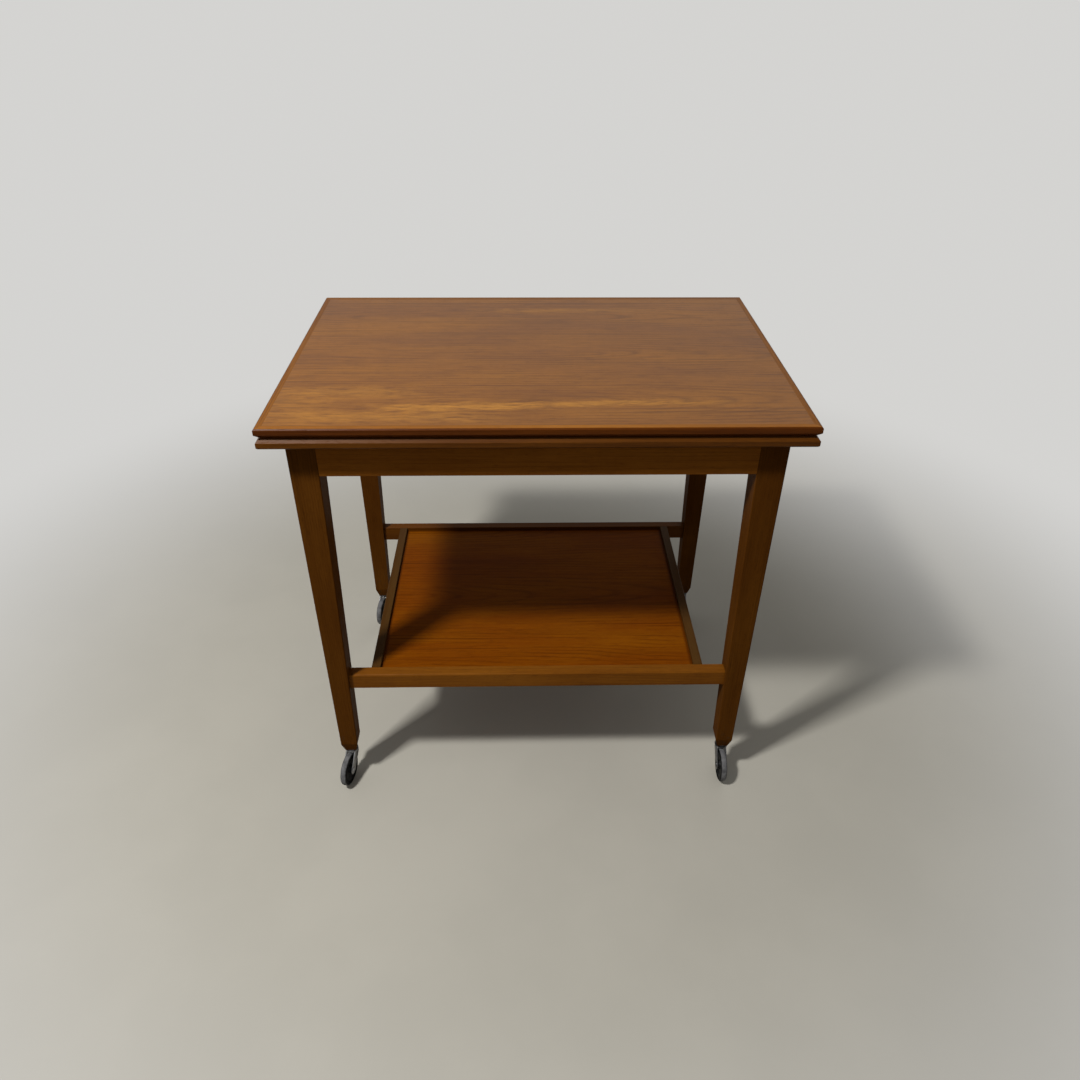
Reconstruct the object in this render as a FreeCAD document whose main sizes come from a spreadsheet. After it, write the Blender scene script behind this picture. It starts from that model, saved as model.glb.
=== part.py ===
import FreeCAD, Part
import Sketcher

import math
import os
import re

# A small tea trolley on four swivel casters.  Its top is two equal leaves, one folded flat on the
# other.  The top turns a quarter round on an off-centre pivot, and the upper leaf then opens over
# on hinges, so that the open top is centred on the frame.
#
# Frame: origin on the floor under the middle of the whole trolley, casters included, +X along the
# long side, +Y to the back, +Z up.
# Lengths are in millimetres.  A name that ends in _angle or _heading is in degrees.

SIZES = {
    # two-leaf top
    "top_width": 740.0,
    "top_depth": 508.0,
    "leaf_thickness": 14.5,
    "leaf_gap": 0.8,
    "lipping_width": 10.0,
    "edge_round": 2.0,
    "edge_face": 7.0,
    "edge_bevel": 5.5,
    "edge_tip_fillet": 1.2,
    "hinge_edge_gap": 0.3,
    # three brass hinges between the leaves
    "hinge_spacing": 270.0,
    "hinge_length": 45.0,
    "hinge_plate_width": 24.0,
    "hinge_plate_thickness": 1.6,
    "hinge_knuckle_radius": 2.8,
    "hinge_pin_radius": 1.5,
    "hinge_screw_spacing": 28.0,
    "hinge_screw_setback": 17.0,
    "hinge_screw_radius": 1.5,
    "hinge_screw_head_radius": 3.0,
    "hinge_screw_length": 9.0,
    # swivel pivot under the lower leaf
    "pivot_plate_radius": 30.0,
    "pivot_plate_thickness": 2.5,
    "pivot_stud_radius": 6.0,
    "pivot_thread_radius": 5.0,
    "pivot_washer_radius": 13.0,
    "pivot_washer_thickness": 2.0,
    "pivot_nut_radius": 9.8,
    "pivot_nut_height": 8.0,
    "pivot_stud_end": 2.0,
    "pivot_screw_circle": 22.0,
    "pivot_screw_radius": 1.75,
    "pivot_screw_head_radius": 3.4,
    "pivot_screw_length": 10.0,
    "pivot_rail_width": 70.0,
    "pivot_rail_thickness": 22.0,
    "pivot_rail_housing": 8.0,
    "stop_radius": 46.0,
    "stop_peg_radius": 4.0,
    "stop_peg_depth": 16.0,
    "stop_groove_depth": 5.2,
    "stop_peg_headroom": 0.8,
    # felt glides in the frame's top edge
    "glide_radius": 7.0,
    "glide_thickness": 3.0,
    "glide_recess": 2.6,
    "glide_spacing": 200.0,
    # frame
    "frame_width": 680.0,
    "frame_depth": 460.0,
    "top_to_frame": 0.6,
    "apron_height": 54.0,
    "apron_thickness": 20.0,
    "leg_top_side": 40.0,
    "leg_foot_side": 28.0,
    "leg_taper_height": 556.5,
    "leg_edge_fillet": 1.5,
    "leg_foot_bevel": 5.0,
    "leg_foot_bevel_height": 20.0,
    "edge_fillet": 1.0,
    "tenon_length": 18.0,
    "tenon_thickness": 9.0,
    "tenon_top_shoulder": 12.0,
    "tenon_bottom_shoulder": 7.0,
    # tray shelf between the legs
    "shelf_height": 177.5,
    "shelf_rail_height": 29.0,
    "shelf_rail_thickness": 19.0,
    "shelf_rail_setback": 6.5,
    "shelf_rail_round": 3.0,
    "shelf_side_inset": 66.0,
    "shelf_side_thickness": 14.5,
    "shelf_tenon_length": 14.0,
    "shelf_tenon_height": 20.0,
    "shelf_tenon_thickness": 8.0,
    "panel_recess": 6.5,
    "panel_thickness": 6.0,
    "panel_tongue": 5.0,
    "groove_depth": 6.0,
    # casters
    "caster_trail": 22.5,
    "wheel_radius": 29.0,
    "tyre_width": 10.5,
    "tyre_thickness": 8.0,
    "tyre_shoulder": 2.5,
    "hub_radius": 7.5,
    "hub_web": 4.0,
    "hub_rim_width": 9.0,
    "hub_rim_thickness": 3.0,
    "axle_radius": 3.5,
    "axle_head_radius": 5.0,
    "axle_head_height": 1.4,
    "fork_gap": 13.5,
    "fork_thickness": 1.8,
    "fork_lobe_radius": 8.5,
    "fork_shoulder": 12.0,
    "crown_drop": 1.0,
    "crown_thickness": 2.0,
    "crown_radius": 11.0,
    "stem_radius": 5.0,
    "stem_length": 34.0,
    "rivet_radius": 5.8,
    "rivet_height": 1.5,
    "collar_height": 1.2,
    "collar_radius": 8.6,
    "collar_waist_radius": 7.4,
    "socket_wall": 1.5,
    "socket_flange_radius": 8.8,
    "socket_flange_thickness": 1.5,
    "front_left_heading": -102.5,
    "front_right_heading": -91.0,
    "back_left_heading": -99.3,
    "back_right_heading": -95.0,
    # clearances
    "joint_clearance": 0.1,
    "running_clearance": 0.05,
    "moving_gap": 0.3,
    "glide_gap": 0.2,
}

# Places worked out from the sizes above.  Each formula may use sizes and other places.
PLACES = {
    "leaf_half_depth": "(top_depth / 2)",
    "hinge_line": "(top_depth / 2 - hinge_knuckle_radius)",
    "leaf_back": "(hinge_line - hinge_edge_gap)",
    "board_half_width": "(top_width / 2 - lipping_width)",
    "board_front": "(-top_depth / 2 + lipping_width)",
    "board_back": "(leaf_back - lipping_width)",
    "face_top": "(leaf_thickness - edge_round)",
    "face_base": "(face_top - edge_face)",
    "crown_underside": "(2 * wheel_radius - crown_drop)",
    "crown_top": "(crown_underside + crown_thickness)",
    "collar_top": "(crown_top + collar_height)",
    "caster_height": "(collar_top + moving_gap + socket_flange_thickness)",
    "frame_top": "(caster_height + leg_taper_height + apron_height)",
    "lower_leaf_bottom": "(frame_top + top_to_frame)",
    "lower_leaf_top": "(lower_leaf_bottom + leaf_thickness)",
    "hinge_axis_height": "(lower_leaf_top + leaf_gap / 2)",
    "upper_leaf_bottom": "(lower_leaf_top + leaf_gap)",
    "pivot": "(hinge_line / 2)",
    "rail_underside": "(frame_top - pivot_rail_thickness)",
    "apron_bottom": "(caster_height + leg_taper_height)",
    "inner_half_width": "(frame_width / 2 - apron_thickness)",
    "inner_half_depth": "(frame_depth / 2 - apron_thickness)",
    "leg_gap_x": "(frame_width - 2 * leg_top_side)",
    "leg_gap_y": "(frame_depth - 2 * leg_top_side)",
    "tenon_height": "(apron_height - tenon_top_shoulder - tenon_bottom_shoulder)",
    "tenon_inset": "((apron_thickness - tenon_thickness) / 2)",
    "taper": "((leg_top_side - leg_foot_side) / leg_taper_height)",
    "rail_base": "(shelf_height - shelf_rail_height)",
    "shelf_side_span": "(frame_width - 2 * shelf_side_inset)",
    "rail_top_reach": "(frame_width / 2 - leg_foot_side - taper * shelf_height)",
    "rail_base_reach": "(frame_width / 2 - leg_foot_side - taper * rail_base)",
    "shelf_tenon_base": "(rail_base + (shelf_rail_height - shelf_tenon_height) / 2)",
    "shelf_tenon_side": "(leg_foot_side + taper * shelf_tenon_base)",
    "shelf_tenon_inset": "(shelf_rail_setback + (shelf_rail_thickness - shelf_tenon_thickness) / 2)",
    "rail_inner_y": "(frame_depth / 2 - shelf_rail_setback - shelf_rail_thickness)",
    "panel_half_width": "(shelf_side_span / 2 - shelf_side_thickness + groove_depth - joint_clearance)",
    "panel_half_depth": "(rail_inner_y + groove_depth - joint_clearance)",
    "panel_base": "(shelf_rail_height - panel_recess - panel_thickness)",
    "groove_height": "(panel_tongue + 2 * joint_clearance)",
    "groove_base": "(panel_base - joint_clearance)",
    "swivel_x": "(frame_width / 2 - leg_foot_side / 2)",
    "swivel_y": "(frame_depth / 2 - leg_foot_side / 2)",
    "hub_width": "(fork_gap - 2 * moving_gap)",
    "fork_width": "(fork_gap + 2 * fork_thickness)",
    "crown_half": "sqrt(crown_radius^2 - (fork_width / 2)^2)",
    "lobe_corner": "(0.7 * fork_lobe_radius)",
    "origin_shift": "((swivel_y + caster_trail + wheel_radius - top_depth / 2) / 2)",
    "core_radius": "(wheel_radius - tyre_thickness)",
    "socket_radius": "(stem_radius + running_clearance + socket_wall)",
    "socket_flange_base": "(caster_height - socket_flange_thickness)",
    "screw_head_height": "(hinge_screw_head_radius - hinge_screw_radius)",
    "pivot_head_height": "(pivot_screw_head_radius - pivot_screw_radius)",
}

WORD = re.compile(r"[a-z_]+[a-z0-9_]*")

doc = FreeCAD.newDocument("TeaTrolley")
sheet = doc.addObject("Spreadsheet::Sheet", "Sizes")
for row, (alias, value) in enumerate(SIZES.items(), start=1):
    sheet.set(f"A{row}", alias)
    sheet.set(f"B{row}", str(value))
    sheet.setAlias(f"B{row}", alias)
doc.recompute()

nodes = {}


# ---------------------------------------------------------------- formulas, solids and booleans

def linked(formula):
    """Write a formula of sizes and places as an expression on the sheet's cells."""
    def cell(match):
        word = match.group()
        if word in PLACES:
            return linked(PLACES[word])
        return f"Sizes.{word}" if word in SIZES else word
    return WORD.sub(cell, str(formula))


def place(item, at=("0", "0", "0"), turn="0", about=(0, 0, 1)):
    """Stand an object at a point given by three formulas, turned by a formula about an axis."""
    item.Placement = FreeCAD.Placement(FreeCAD.Vector(), FreeCAD.Rotation(FreeCAD.Vector(*about), 1))
    item.setExpression("Placement.Rotation.Angle", linked(turn))
    for axis, formula in zip("xyz", at):
        item.setExpression(f"Placement.Base.{axis}", linked(formula))
    return item


def node(item, name, at=("0", "0", "0"), turn="0"):
    """Name a finished piece and stand it in the trolley's frame.

    Places are given from the middle of the top.  The frame's origin lies origin_shift in front of
    it, in the middle of the whole, because the front casters stand out in front of the top.
    """
    item.Label = name
    nodes[name] = place(item, (at[0], f"{at[1]} + origin_shift", at[2]), turn)
    return item


def box(name, size, at):
    solid = doc.addObject("Part::Box", name)
    for side, formula in zip(("Length", "Width", "Height"), size):
        solid.setExpression(side, linked(formula))
    return place(solid, at)


def rod(name, radius, length, at, along="z"):
    """A cylinder from a point along +X, -Y or +Z."""
    solid = doc.addObject("Part::Cylinder", name)
    solid.setExpression("Radius", linked(radius))
    solid.setExpression("Height", linked(length))
    about = {"x": (0, 1, 0), "y": (1, 0, 0), "z": (0, 0, 1)}[along]
    return place(solid, at, "0" if along == "z" else "90", about)


def cone(name, base_radius, top_radius, height, at):
    solid = doc.addObject("Part::Cone", name)
    solid.setExpression("Radius1", linked(base_radius))
    solid.setExpression("Radius2", linked(top_radius))
    solid.setExpression("Height", linked(height))
    return place(solid, at)


def fuse(name, solids):
    joined = doc.addObject("Part::MultiFuse", name)
    joined.Shapes = solids
    joined.Refine = True
    return joined


def cut(name, base, tools):
    """Cut every tool out of the base, and make sure that each of them takes something away."""
    result = doc.addObject("Part::Cut", name)
    result.Base = base
    result.Tool = tools[0] if len(tools) == 1 else fuse(f"{name}_tools", tools)
    return result


def group(name, solids):
    """Separate solids of one kind that share a node."""
    together = doc.addObject("Part::Compound", name)
    together.Links = solids
    return node(together, name)


def ease(name, item, size, chosen):
    """Round the straight edges of a solid whose direction and middle pass a test."""
    doc.recompute()
    rounded = doc.addObject("Part::Fillet", name)
    rounded.Base = item
    value = sheet.get(size)
    rounded.Edges = [
        (number, value, value)
        for number, edge in enumerate(item.Shape.Edges, start=1)
        if chosen(edge)
    ]
    return rounded


def runs_along(edge, direction):
    """True for a straight edge that lies along a direction, to within a few degrees."""
    start = edge.Vertexes[0].Point
    run = edge.Vertexes[-1].Point.sub(start)
    if run.Length < 1e-6 or edge.Curve.TypeId != "Part::GeomLine":
        return False
    return abs(run.normalize().dot(FreeCAD.Vector(*direction))) > 0.99


# ---------------------------------------------------------------- bodies from sketches

def body_of(name):
    return doc.addObject("PartDesign::Body", name)


def start_sketch(body, name, role):
    drawing = body.newObject("Sketcher::SketchObject", name)
    plane = next(item for item in body.Origin.OriginFeatures if item.Role == role)
    drawing.AttachmentSupport = (plane, "")
    drawing.MapMode = "FlatFace"
    return drawing


def polygon(body, name, role, corners):
    """A closed outline whose corners are each held by two formulas."""
    drawing = start_sketch(body, name, role)
    count = len(corners)
    ring = [
        FreeCAD.Vector(math.cos(2 * math.pi * k / count), math.sin(2 * math.pi * k / count), 0) * 10
        for k in range(count)
    ]
    for k in range(count):
        drawing.addGeometry(Part.LineSegment(ring[k], ring[(k + 1) % count]), False)
    for k in range(count):
        drawing.addConstraint(Sketcher.Constraint("Coincident", k, 2, (k + 1) % count, 1))
    for k, corner in enumerate(corners):
        for axis, formula, begin in zip("XY", corner, (ring[k].x, ring[k].y)):
            rule = Sketcher.Constraint(f"Distance{axis}", -1, 1, k, 1, begin)
            drawing.renameConstraint(drawing.addConstraint(rule), f"corner_{axis.lower()}{k}")
            drawing.setExpression(f"Constraints.corner_{axis.lower()}{k}", linked(formula))
    return drawing


def circle(body, name, role, centre, radius):
    """A circle whose centre and radius are formulas."""
    drawing = start_sketch(body, name, role)
    drawing.addGeometry(Part.Circle(FreeCAD.Vector(5, 5, 0), FreeCAD.Vector(0, 0, 1), 4), False)
    for axis, formula in zip("XY", centre):
        rule = Sketcher.Constraint(f"Distance{axis}", -1, 1, 0, 3, 5)
        drawing.renameConstraint(drawing.addConstraint(rule), f"centre_{axis.lower()}")
        drawing.setExpression(f"Constraints.centre_{axis.lower()}", linked(formula))
    drawing.renameConstraint(drawing.addConstraint(Sketcher.Constraint("Radius", 0, 4)), "radius")
    drawing.setExpression("Constraints.radius", linked(radius))
    return drawing


def pad(body, name, drawing, length, both_ways=False, reverse=False):
    feature = body.newObject("PartDesign::Pad", name)
    feature.Profile = drawing
    feature.SideType = "Symmetric" if both_ways else "One side"
    feature.Reversed = reverse
    feature.setExpression("Length", linked(length))
    return feature


def pocket(body, name, drawing, length):
    """Cut a profile away to the same depth on both sides of its sketch."""
    feature = body.newObject("PartDesign::Pocket", name)
    feature.Profile = drawing
    feature.SideType = "Symmetric"
    feature.setExpression("Length", linked(length))
    return feature


def turned(name, role, corners):
    """A body turned about its sketch's upright axis from a polygon of (radius, height) corners."""
    body = body_of(name)
    feature = body.newObject("PartDesign::Revolution", f"{name}_turn")
    drawing = polygon(body, f"{name}_profile", role, corners)
    feature.Profile = drawing
    feature.ReferenceAxis = (drawing, ["V_Axis"])
    feature.Angle = 360
    body.Tip = feature
    return body


# ---------------------------------------------------------------- the two leaves

def lipping_strip(name, length, edge, mitres):
    """One strip of edging along local X, centred on it, with its outer side towards -Y.

    edge is "upper", "lower" or "square".  mitres names the mitred ends, from "-" and "+".
    """
    body = body_of(name)
    tip, bevel, step = "-lipping_width", "-(lipping_width - edge_bevel)", "-(lipping_width - edge_round)"
    outlines = {
        "upper": [("0", "0"), (bevel, "0"), (tip, "face_base"), (tip, "face_top"),
                  (step, "leaf_thickness"), ("0", "leaf_thickness")],
        "lower": [("0", "0"), (step, "0"), (tip, "edge_round"), (tip, "edge_round + edge_face"),
                  (bevel, "leaf_thickness"), ("0", "leaf_thickness")],
        "square": [("0", "0"), (tip, "0"), (tip, "leaf_thickness"), ("0", "leaf_thickness")],
    }
    profile = polygon(body, f"{name}_profile", "YZ_Plane", outlines[edge])
    last = pad(body, f"{name}_pad", profile, length, both_ways=True)
    if edge != "square":
        doc.recompute()
        arrises = [
            f"Edge{number}"
            for number, line in enumerate(last.Shape.Edges, start=1)
            if runs_along(line, (1, 0, 0))
            and line.CenterOfMass.y < -sheet.get("lipping_width") + sheet.get("edge_round") + 0.1
            and 0.1 < line.CenterOfMass.z < sheet.get("leaf_thickness") + 0.1
        ]
        last = body.newObject("PartDesign::Fillet", f"{name}_round")
        last.Base = (body.getObject(f"{name}_pad"), arrises)
        last.setExpression("Radius", linked("edge_tip_fillet"))
    for sign in mitres:
        end = f"{sign}({length}) / 2"
        waste = polygon(body, f"{name}_waste{mitres.index(sign)}", "XY_Plane", [
            (f"{end}", "-lipping_width"),
            (f"{end} {sign} lipping_width", "-2 * lipping_width"),
            (f"{end} {sign} lipping_width", "lipping_width"),
            (f"{end} - ({sign}2 * lipping_width)", "lipping_width"),
        ])
        last = pocket(body, f"{name}_mitre{mitres.index(sign)}", waste, "3 * leaf_thickness")
    body.Tip = last
    return body


def leaf_lipping(level, base):
    """The four strips round one leaf: mitred in front, square across the hinge edge."""
    side_length = "(leaf_back + leaf_half_depth)"
    side_middle = "(leaf_back - leaf_half_depth) / 2"
    strips = {
        "front": place(lipping_strip(f"{level}_front_strip", "top_width", level, "-+"),
                       ("0", "board_front", base)),
        "left": place(lipping_strip(f"{level}_left_strip", side_length, level, "+"),
                      ("-board_half_width", side_middle, base), "-90"),
        "right": place(lipping_strip(f"{level}_right_strip", side_length, level, "-"),
                       ("board_half_width", side_middle, base), "90"),
    }
    back = box(f"{level}_back_blank", ("2 * board_half_width", "lipping_width", "leaf_thickness"),
               ("-board_half_width", "board_back", base))
    strips["back"] = cut(f"{level}_back_strip", back, hinge_recesses(f"{level}_back", level, base))
    return group(f"{level}_leaf_lipping", list(strips.values()))


def hinge_places():
    """The three hinges' names and their places along the back edge."""
    return (("left", "-hinge_spacing"), ("centre", "0"), ("right", "hinge_spacing"))


def hinge_recesses(name, level, base):
    """Recesses for the hinge plates and hollows for the knuckles, in one leaf."""
    face = base if level == "upper" else f"{base} + leaf_thickness - hinge_plate_thickness"
    tools = []
    for side, middle in hinge_places():
        start = f"{middle} - hinge_length / 2 - joint_clearance"
        length = "hinge_length + 2 * joint_clearance"
        tools.append(box(f"{name}_{side}_recess",
                         (length, "hinge_plate_width", "hinge_plate_thickness"),
                         (start, "hinge_line - hinge_plate_width - joint_clearance", face)))
        tools.append(rod(f"{name}_{side}_hollow", "hinge_knuckle_radius + moving_gap", length,
                         (start, "hinge_line", "hinge_axis_height"), along="x"))
    return tools


def hinge_screw_places():
    """Where the hinge screws stand: two through each plate."""
    for side, middle in hinge_places():
        for end, sign in (("a", "-"), ("b", "+")):
            yield f"{side}_{end}", f"{middle} {sign} hinge_screw_spacing / 2"


def leaf_board(level, base):
    """The board inside the lipping, cut for the hinges and, below, for the pivot and its stop."""
    blank = box(f"{level}_board_blank",
                ("2 * board_half_width", "board_back - board_front", "leaf_thickness"),
                ("-board_half_width", "board_front", base))
    tools = hinge_recesses(f"{level}_board", level, base)
    depth = "hinge_screw_length - hinge_plate_thickness"
    hole_base = "upper_leaf_bottom" if level == "upper" else "lower_leaf_top - hinge_screw_length"
    for spot, x in hinge_screw_places():
        tools.append(rod(f"{level}_board_{spot}_pilot", "hinge_screw_radius + joint_clearance",
                         "hinge_screw_length + joint_clearance",
                         (x, "hinge_line - hinge_screw_setback",
                          hole_base if level == "upper" else f"{hole_base} - joint_clearance")))
    if level == "lower":
        tools += pivot_recesses(base)
    return node(cut(f"{level}_leaf_board", blank, tools), f"{level}_leaf_board")


def pivot_recesses(base):
    """The plate's recess, its screw holes and the quarter-round groove for the stop peg."""
    tools = [rod("plate_recess", "pivot_plate_radius + joint_clearance", "pivot_plate_thickness",
                 ("pivot", "pivot", base))]
    for index, (x, y) in enumerate(pivot_screw_places()):
        tools.append(rod(f"plate_pilot_{index}", "pivot_screw_radius + joint_clearance",
                         "pivot_screw_length + joint_clearance", (x, y, base)))
    wide = "stop_peg_radius + moving_gap"
    outer = rod("groove_outer", f"stop_radius + {wide}", "stop_groove_depth", ("0", "0", "0"))
    outer.Angle = 90
    inner = rod("groove_inner", f"stop_radius - ({wide})", "stop_groove_depth", ("0", "0", "0"))
    quarter = cut("groove_quarter", outer, [inner])
    tools.append(place(quarter, ("pivot", "pivot", base), "180"))
    for index, (x, y) in enumerate((("pivot - stop_radius", "pivot"), ("pivot", "pivot - stop_radius"))):
        tools.append(rod(f"groove_end_{index}", wide, "stop_groove_depth", (x, y, base)))
    return tools


# ---------------------------------------------------------------- hinges between the leaves

def hinge_plate(side, level, middle):
    """One brass plate with its share of the five knuckles, about the hinge axis as local X."""
    name = f"hinge_{side}_{level}_plate"
    upper = level == "upper"
    base = "leaf_gap / 2" if upper else "-leaf_gap / 2 - hinge_plate_thickness"
    plate = box(f"{name}_flat", ("hinge_length", "hinge_plate_width", "hinge_plate_thickness"),
                ("-hinge_length / 2", "-hinge_plate_width", base))
    barrel = rod(f"{name}_barrel", "hinge_knuckle_radius", "hinge_length",
                 ("-hinge_length / 2", "0", "0"), along="x")
    tools = [rod(f"{name}_bore", "hinge_pin_radius + running_clearance",
                 "hinge_length + 2", ("-hinge_length / 2 - 1", "0", "0"), along="x")]
    for step in (0, 2, 4) if upper else (1, 3):
        tools.append(box(
            f"{name}_gap{step}",
            ("hinge_length / 5 + 2 * joint_clearance", "2 * (hinge_knuckle_radius + moving_gap)",
             "2 * (hinge_knuckle_radius + moving_gap)"),
            (f"-hinge_length / 2 + {step} * hinge_length / 5 - joint_clearance",
             "-hinge_knuckle_radius - moving_gap", "-hinge_knuckle_radius - moving_gap")))
    sink_base = "leaf_gap / 2" if upper else "-leaf_gap / 2 - screw_head_height"
    for end, sign in (("a", "-"), ("b", "+")):
        at = (f"{sign}hinge_screw_spacing / 2", "-hinge_screw_setback")
        tools.append(rod(f"{name}_hole_{end}", "hinge_screw_radius + joint_clearance",
                         "hinge_plate_thickness", at + (base,)))
        wide = "hinge_screw_head_radius + joint_clearance"
        narrow = "hinge_screw_radius + joint_clearance"
        tools.append(cone(f"{name}_sink_{end}", wide if upper else narrow,
                          narrow if upper else wide, "screw_head_height", at + (sink_base,)))
    leaf = cut(name, fuse(f"{name}_blank", [plate, barrel]), tools)
    return node(leaf, name, (middle, "hinge_line", "hinge_axis_height"))


def hinge_pin(side, middle):
    """The pin, tight in the lower plate's knuckles and free in the upper plate's."""
    name = f"hinge_{side}_pin"
    at = (f"{middle} - hinge_length / 2", "hinge_line + origin_shift", "hinge_axis_height")
    nodes[name] = rod(name, "hinge_pin_radius", "hinge_length", at, along="x")
    return nodes[name]


def wood_screw(name, radius, head_radius, length, head_height, at, point_up):
    """A countersunk screw: its head's flat face lies in the plate's face."""
    shank_base = f"{at[2]} + {head_height}" if point_up else f"{at[2]} - ({length})"
    head_base = at[2] if point_up else f"{at[2]} - ({head_height})"
    head = cone(f"{name}_head", head_radius if point_up else radius,
                radius if point_up else head_radius, head_height, (at[0], at[1], head_base))
    shank = rod(f"{name}_shank", radius, f"{length} - ({head_height})", (at[0], at[1], shank_base))
    return fuse(name, [head, shank])


def hinge_screws(level):
    face = "upper_leaf_bottom" if level == "upper" else "lower_leaf_top"
    return group(f"hinge_screws_{level}", [
        wood_screw(f"hinge_screw_{level}_{spot}", "hinge_screw_radius", "hinge_screw_head_radius",
                   "hinge_screw_length", "screw_head_height",
                   (x, "hinge_line - hinge_screw_setback", face), point_up=level == "upper")
        for spot, x in hinge_screw_places()
    ])


# ---------------------------------------------------------------- swivel pivot

def pivot_screw_places():
    """Four screws round the pivot."""
    for along, across in (("+", "+"), ("-", "+"), ("-", "-"), ("+", "-")):
        yield (f"pivot {along} pivot_screw_circle / sqrt(2)",
               f"pivot {across} pivot_screw_circle / sqrt(2)")


def pivot_parts():
    """The plate with its stud, and the washer and nut that keep the top down on the frame."""
    reach = "top_to_frame + pivot_rail_thickness + moving_gap"
    thread = "pivot_washer_thickness + pivot_nut_height + pivot_stud_end"
    disc = rod("pivot_disc", "pivot_plate_radius", "pivot_plate_thickness", ("0", "0", "0"))
    shoulder = rod("pivot_shoulder", "pivot_stud_radius", reach, ("0", "0", f"-({reach})"))
    threaded = rod("pivot_thread", "pivot_thread_radius", thread, ("0", "0", f"-({reach}) - ({thread})"))
    tools = []
    for index, (along, across) in enumerate((("+", "+"), ("-", "+"), ("-", "-"), ("+", "-"))):
        at = (f"{along}pivot_screw_circle / sqrt(2)", f"{across}pivot_screw_circle / sqrt(2)")
        tools.append(rod(f"pivot_hole_{index}", "pivot_screw_radius + joint_clearance",
                         "pivot_plate_thickness", at + ("0",)))
        tools.append(cone(f"pivot_sink_{index}", "pivot_screw_head_radius + joint_clearance",
                          "pivot_screw_radius + joint_clearance", "pivot_head_height", at + ("0",)))
    plate = cut("pivot_plate", fuse("pivot_plate_blank", [disc, shoulder, threaded]), tools)
    node(plate, "pivot_plate", ("pivot", "pivot", "lower_leaf_bottom"))
    group("pivot_plate_screws", [
        wood_screw(f"pivot_screw_{index}", "pivot_screw_radius", "pivot_screw_head_radius",
                   "pivot_screw_length", "pivot_head_height", (x, y, "lower_leaf_bottom"), point_up=True)
        for index, (x, y) in enumerate(pivot_screw_places())
    ])
    bore = "pivot_thread_radius + running_clearance"
    washer = cut("pivot_washer", rod("washer_blank", "pivot_washer_radius", "pivot_washer_thickness",
                                     ("0", "0", "0")),
                 [rod("washer_bore", bore, "pivot_washer_thickness", ("0", "0", "0"))])
    node(washer, "pivot_washer",
         ("pivot", "pivot", "rail_underside - moving_gap - pivot_washer_thickness"))
    prism = doc.addObject("Part::Prism", "nut_blank")
    prism.Polygon = 6
    prism.setExpression("Circumradius", linked("pivot_nut_radius"))
    prism.setExpression("Height", linked("pivot_nut_height"))
    nut = cut("pivot_nut", prism, [rod("nut_bore", bore, "pivot_nut_height", ("0", "0", "0"))])
    node(nut, "pivot_nut", ("pivot", "pivot",
                            "rail_underside - moving_gap - pivot_washer_thickness - pivot_nut_height"))


def pivot_rail():
    """The rail that carries the pivot, housed at both ends in the long aprons."""
    half = "(inner_half_depth + pivot_rail_housing)"
    blank = box("pivot_rail_blank", ("pivot_rail_width", f"2 * {half}", "pivot_rail_thickness"),
                ("-pivot_rail_width / 2", f"-{half}", "-pivot_rail_thickness"))
    hole = rod("pivot_rail_hole", "pivot_stud_radius + running_clearance", "pivot_rail_thickness",
               ("0", "pivot", "-pivot_rail_thickness"))
    peg_hole = rod("pivot_rail_peg_hole", "stop_peg_radius + joint_clearance",
                   "stop_peg_depth", ("0", "pivot - stop_radius", "-stop_peg_depth"))
    node(cut("pivot_rail", blank, [hole, peg_hole]), "pivot_rail", ("pivot", "0", "frame_top"))
    peg_top = "top_to_frame + stop_groove_depth - stop_peg_headroom"
    node(rod("stop_peg", "stop_peg_radius", f"stop_peg_depth + {peg_top}", ("0", "0", "0")),
         "stop_peg", ("pivot", "pivot - stop_radius", "frame_top - stop_peg_depth"))


# ---------------------------------------------------------------- frame

def glide_places():
    """Felt glides: two on each long apron and one on each short one."""
    middle_y = "(frame_depth / 2 - apron_thickness / 2)"
    middle_x = "(frame_width / 2 - apron_thickness / 2)"
    return {
        "front": (("-glide_spacing", f"-{middle_y}"), ("glide_spacing", f"-{middle_y}")),
        "back": (("-glide_spacing", middle_y), ("glide_spacing", middle_y)),
        "left": ((f"-{middle_x}", "0"),),
        "right": ((middle_x, "0"),),
    }


def long_apron(name, side):
    """A front or back apron along X.  Local Y runs inwards from its outer face."""
    sign = "-" if side == "front" else ""
    flat = box(f"{name}_flat", ("leg_gap_x", "apron_thickness", "apron_height"),
               ("-leg_gap_x / 2", "0", "0"))
    eased = ease(f"{name}_eased", flat, "edge_fillet",
                 lambda edge: runs_along(edge, (1, 0, 0)) and edge.CenterOfMass.z < 1)
    tenon = box(f"{name}_tenon", ("leg_gap_x + 2 * tenon_length", "tenon_thickness", "tenon_height"),
                ("-leg_gap_x / 2 - tenon_length", "tenon_inset", "tenon_bottom_shoulder"))
    housing_x = "pivot" if side == "front" else "-pivot"
    housing = box(f"{name}_housing",
                  ("pivot_rail_width + 2 * joint_clearance", "pivot_rail_housing + joint_clearance",
                   "pivot_rail_thickness + joint_clearance"),
                  (f"{housing_x} - pivot_rail_width / 2 - joint_clearance",
                   "apron_thickness - pivot_rail_housing - joint_clearance",
                   "apron_height - pivot_rail_thickness - joint_clearance"))
    tools = [housing]
    for index, spot in enumerate(("-glide_spacing", "glide_spacing")):
        tools.append(rod(f"{name}_glide_seat_{index}", "glide_radius + joint_clearance", "glide_recess",
                         (spot, "apron_thickness / 2", "apron_height - glide_recess")))
    piece = cut(name, fuse(f"{name}_blank", [eased, tenon]), tools)
    node(piece, name, ("0", f"{sign}frame_depth / 2", "apron_bottom"), "0" if side == "front" else "180")


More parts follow.
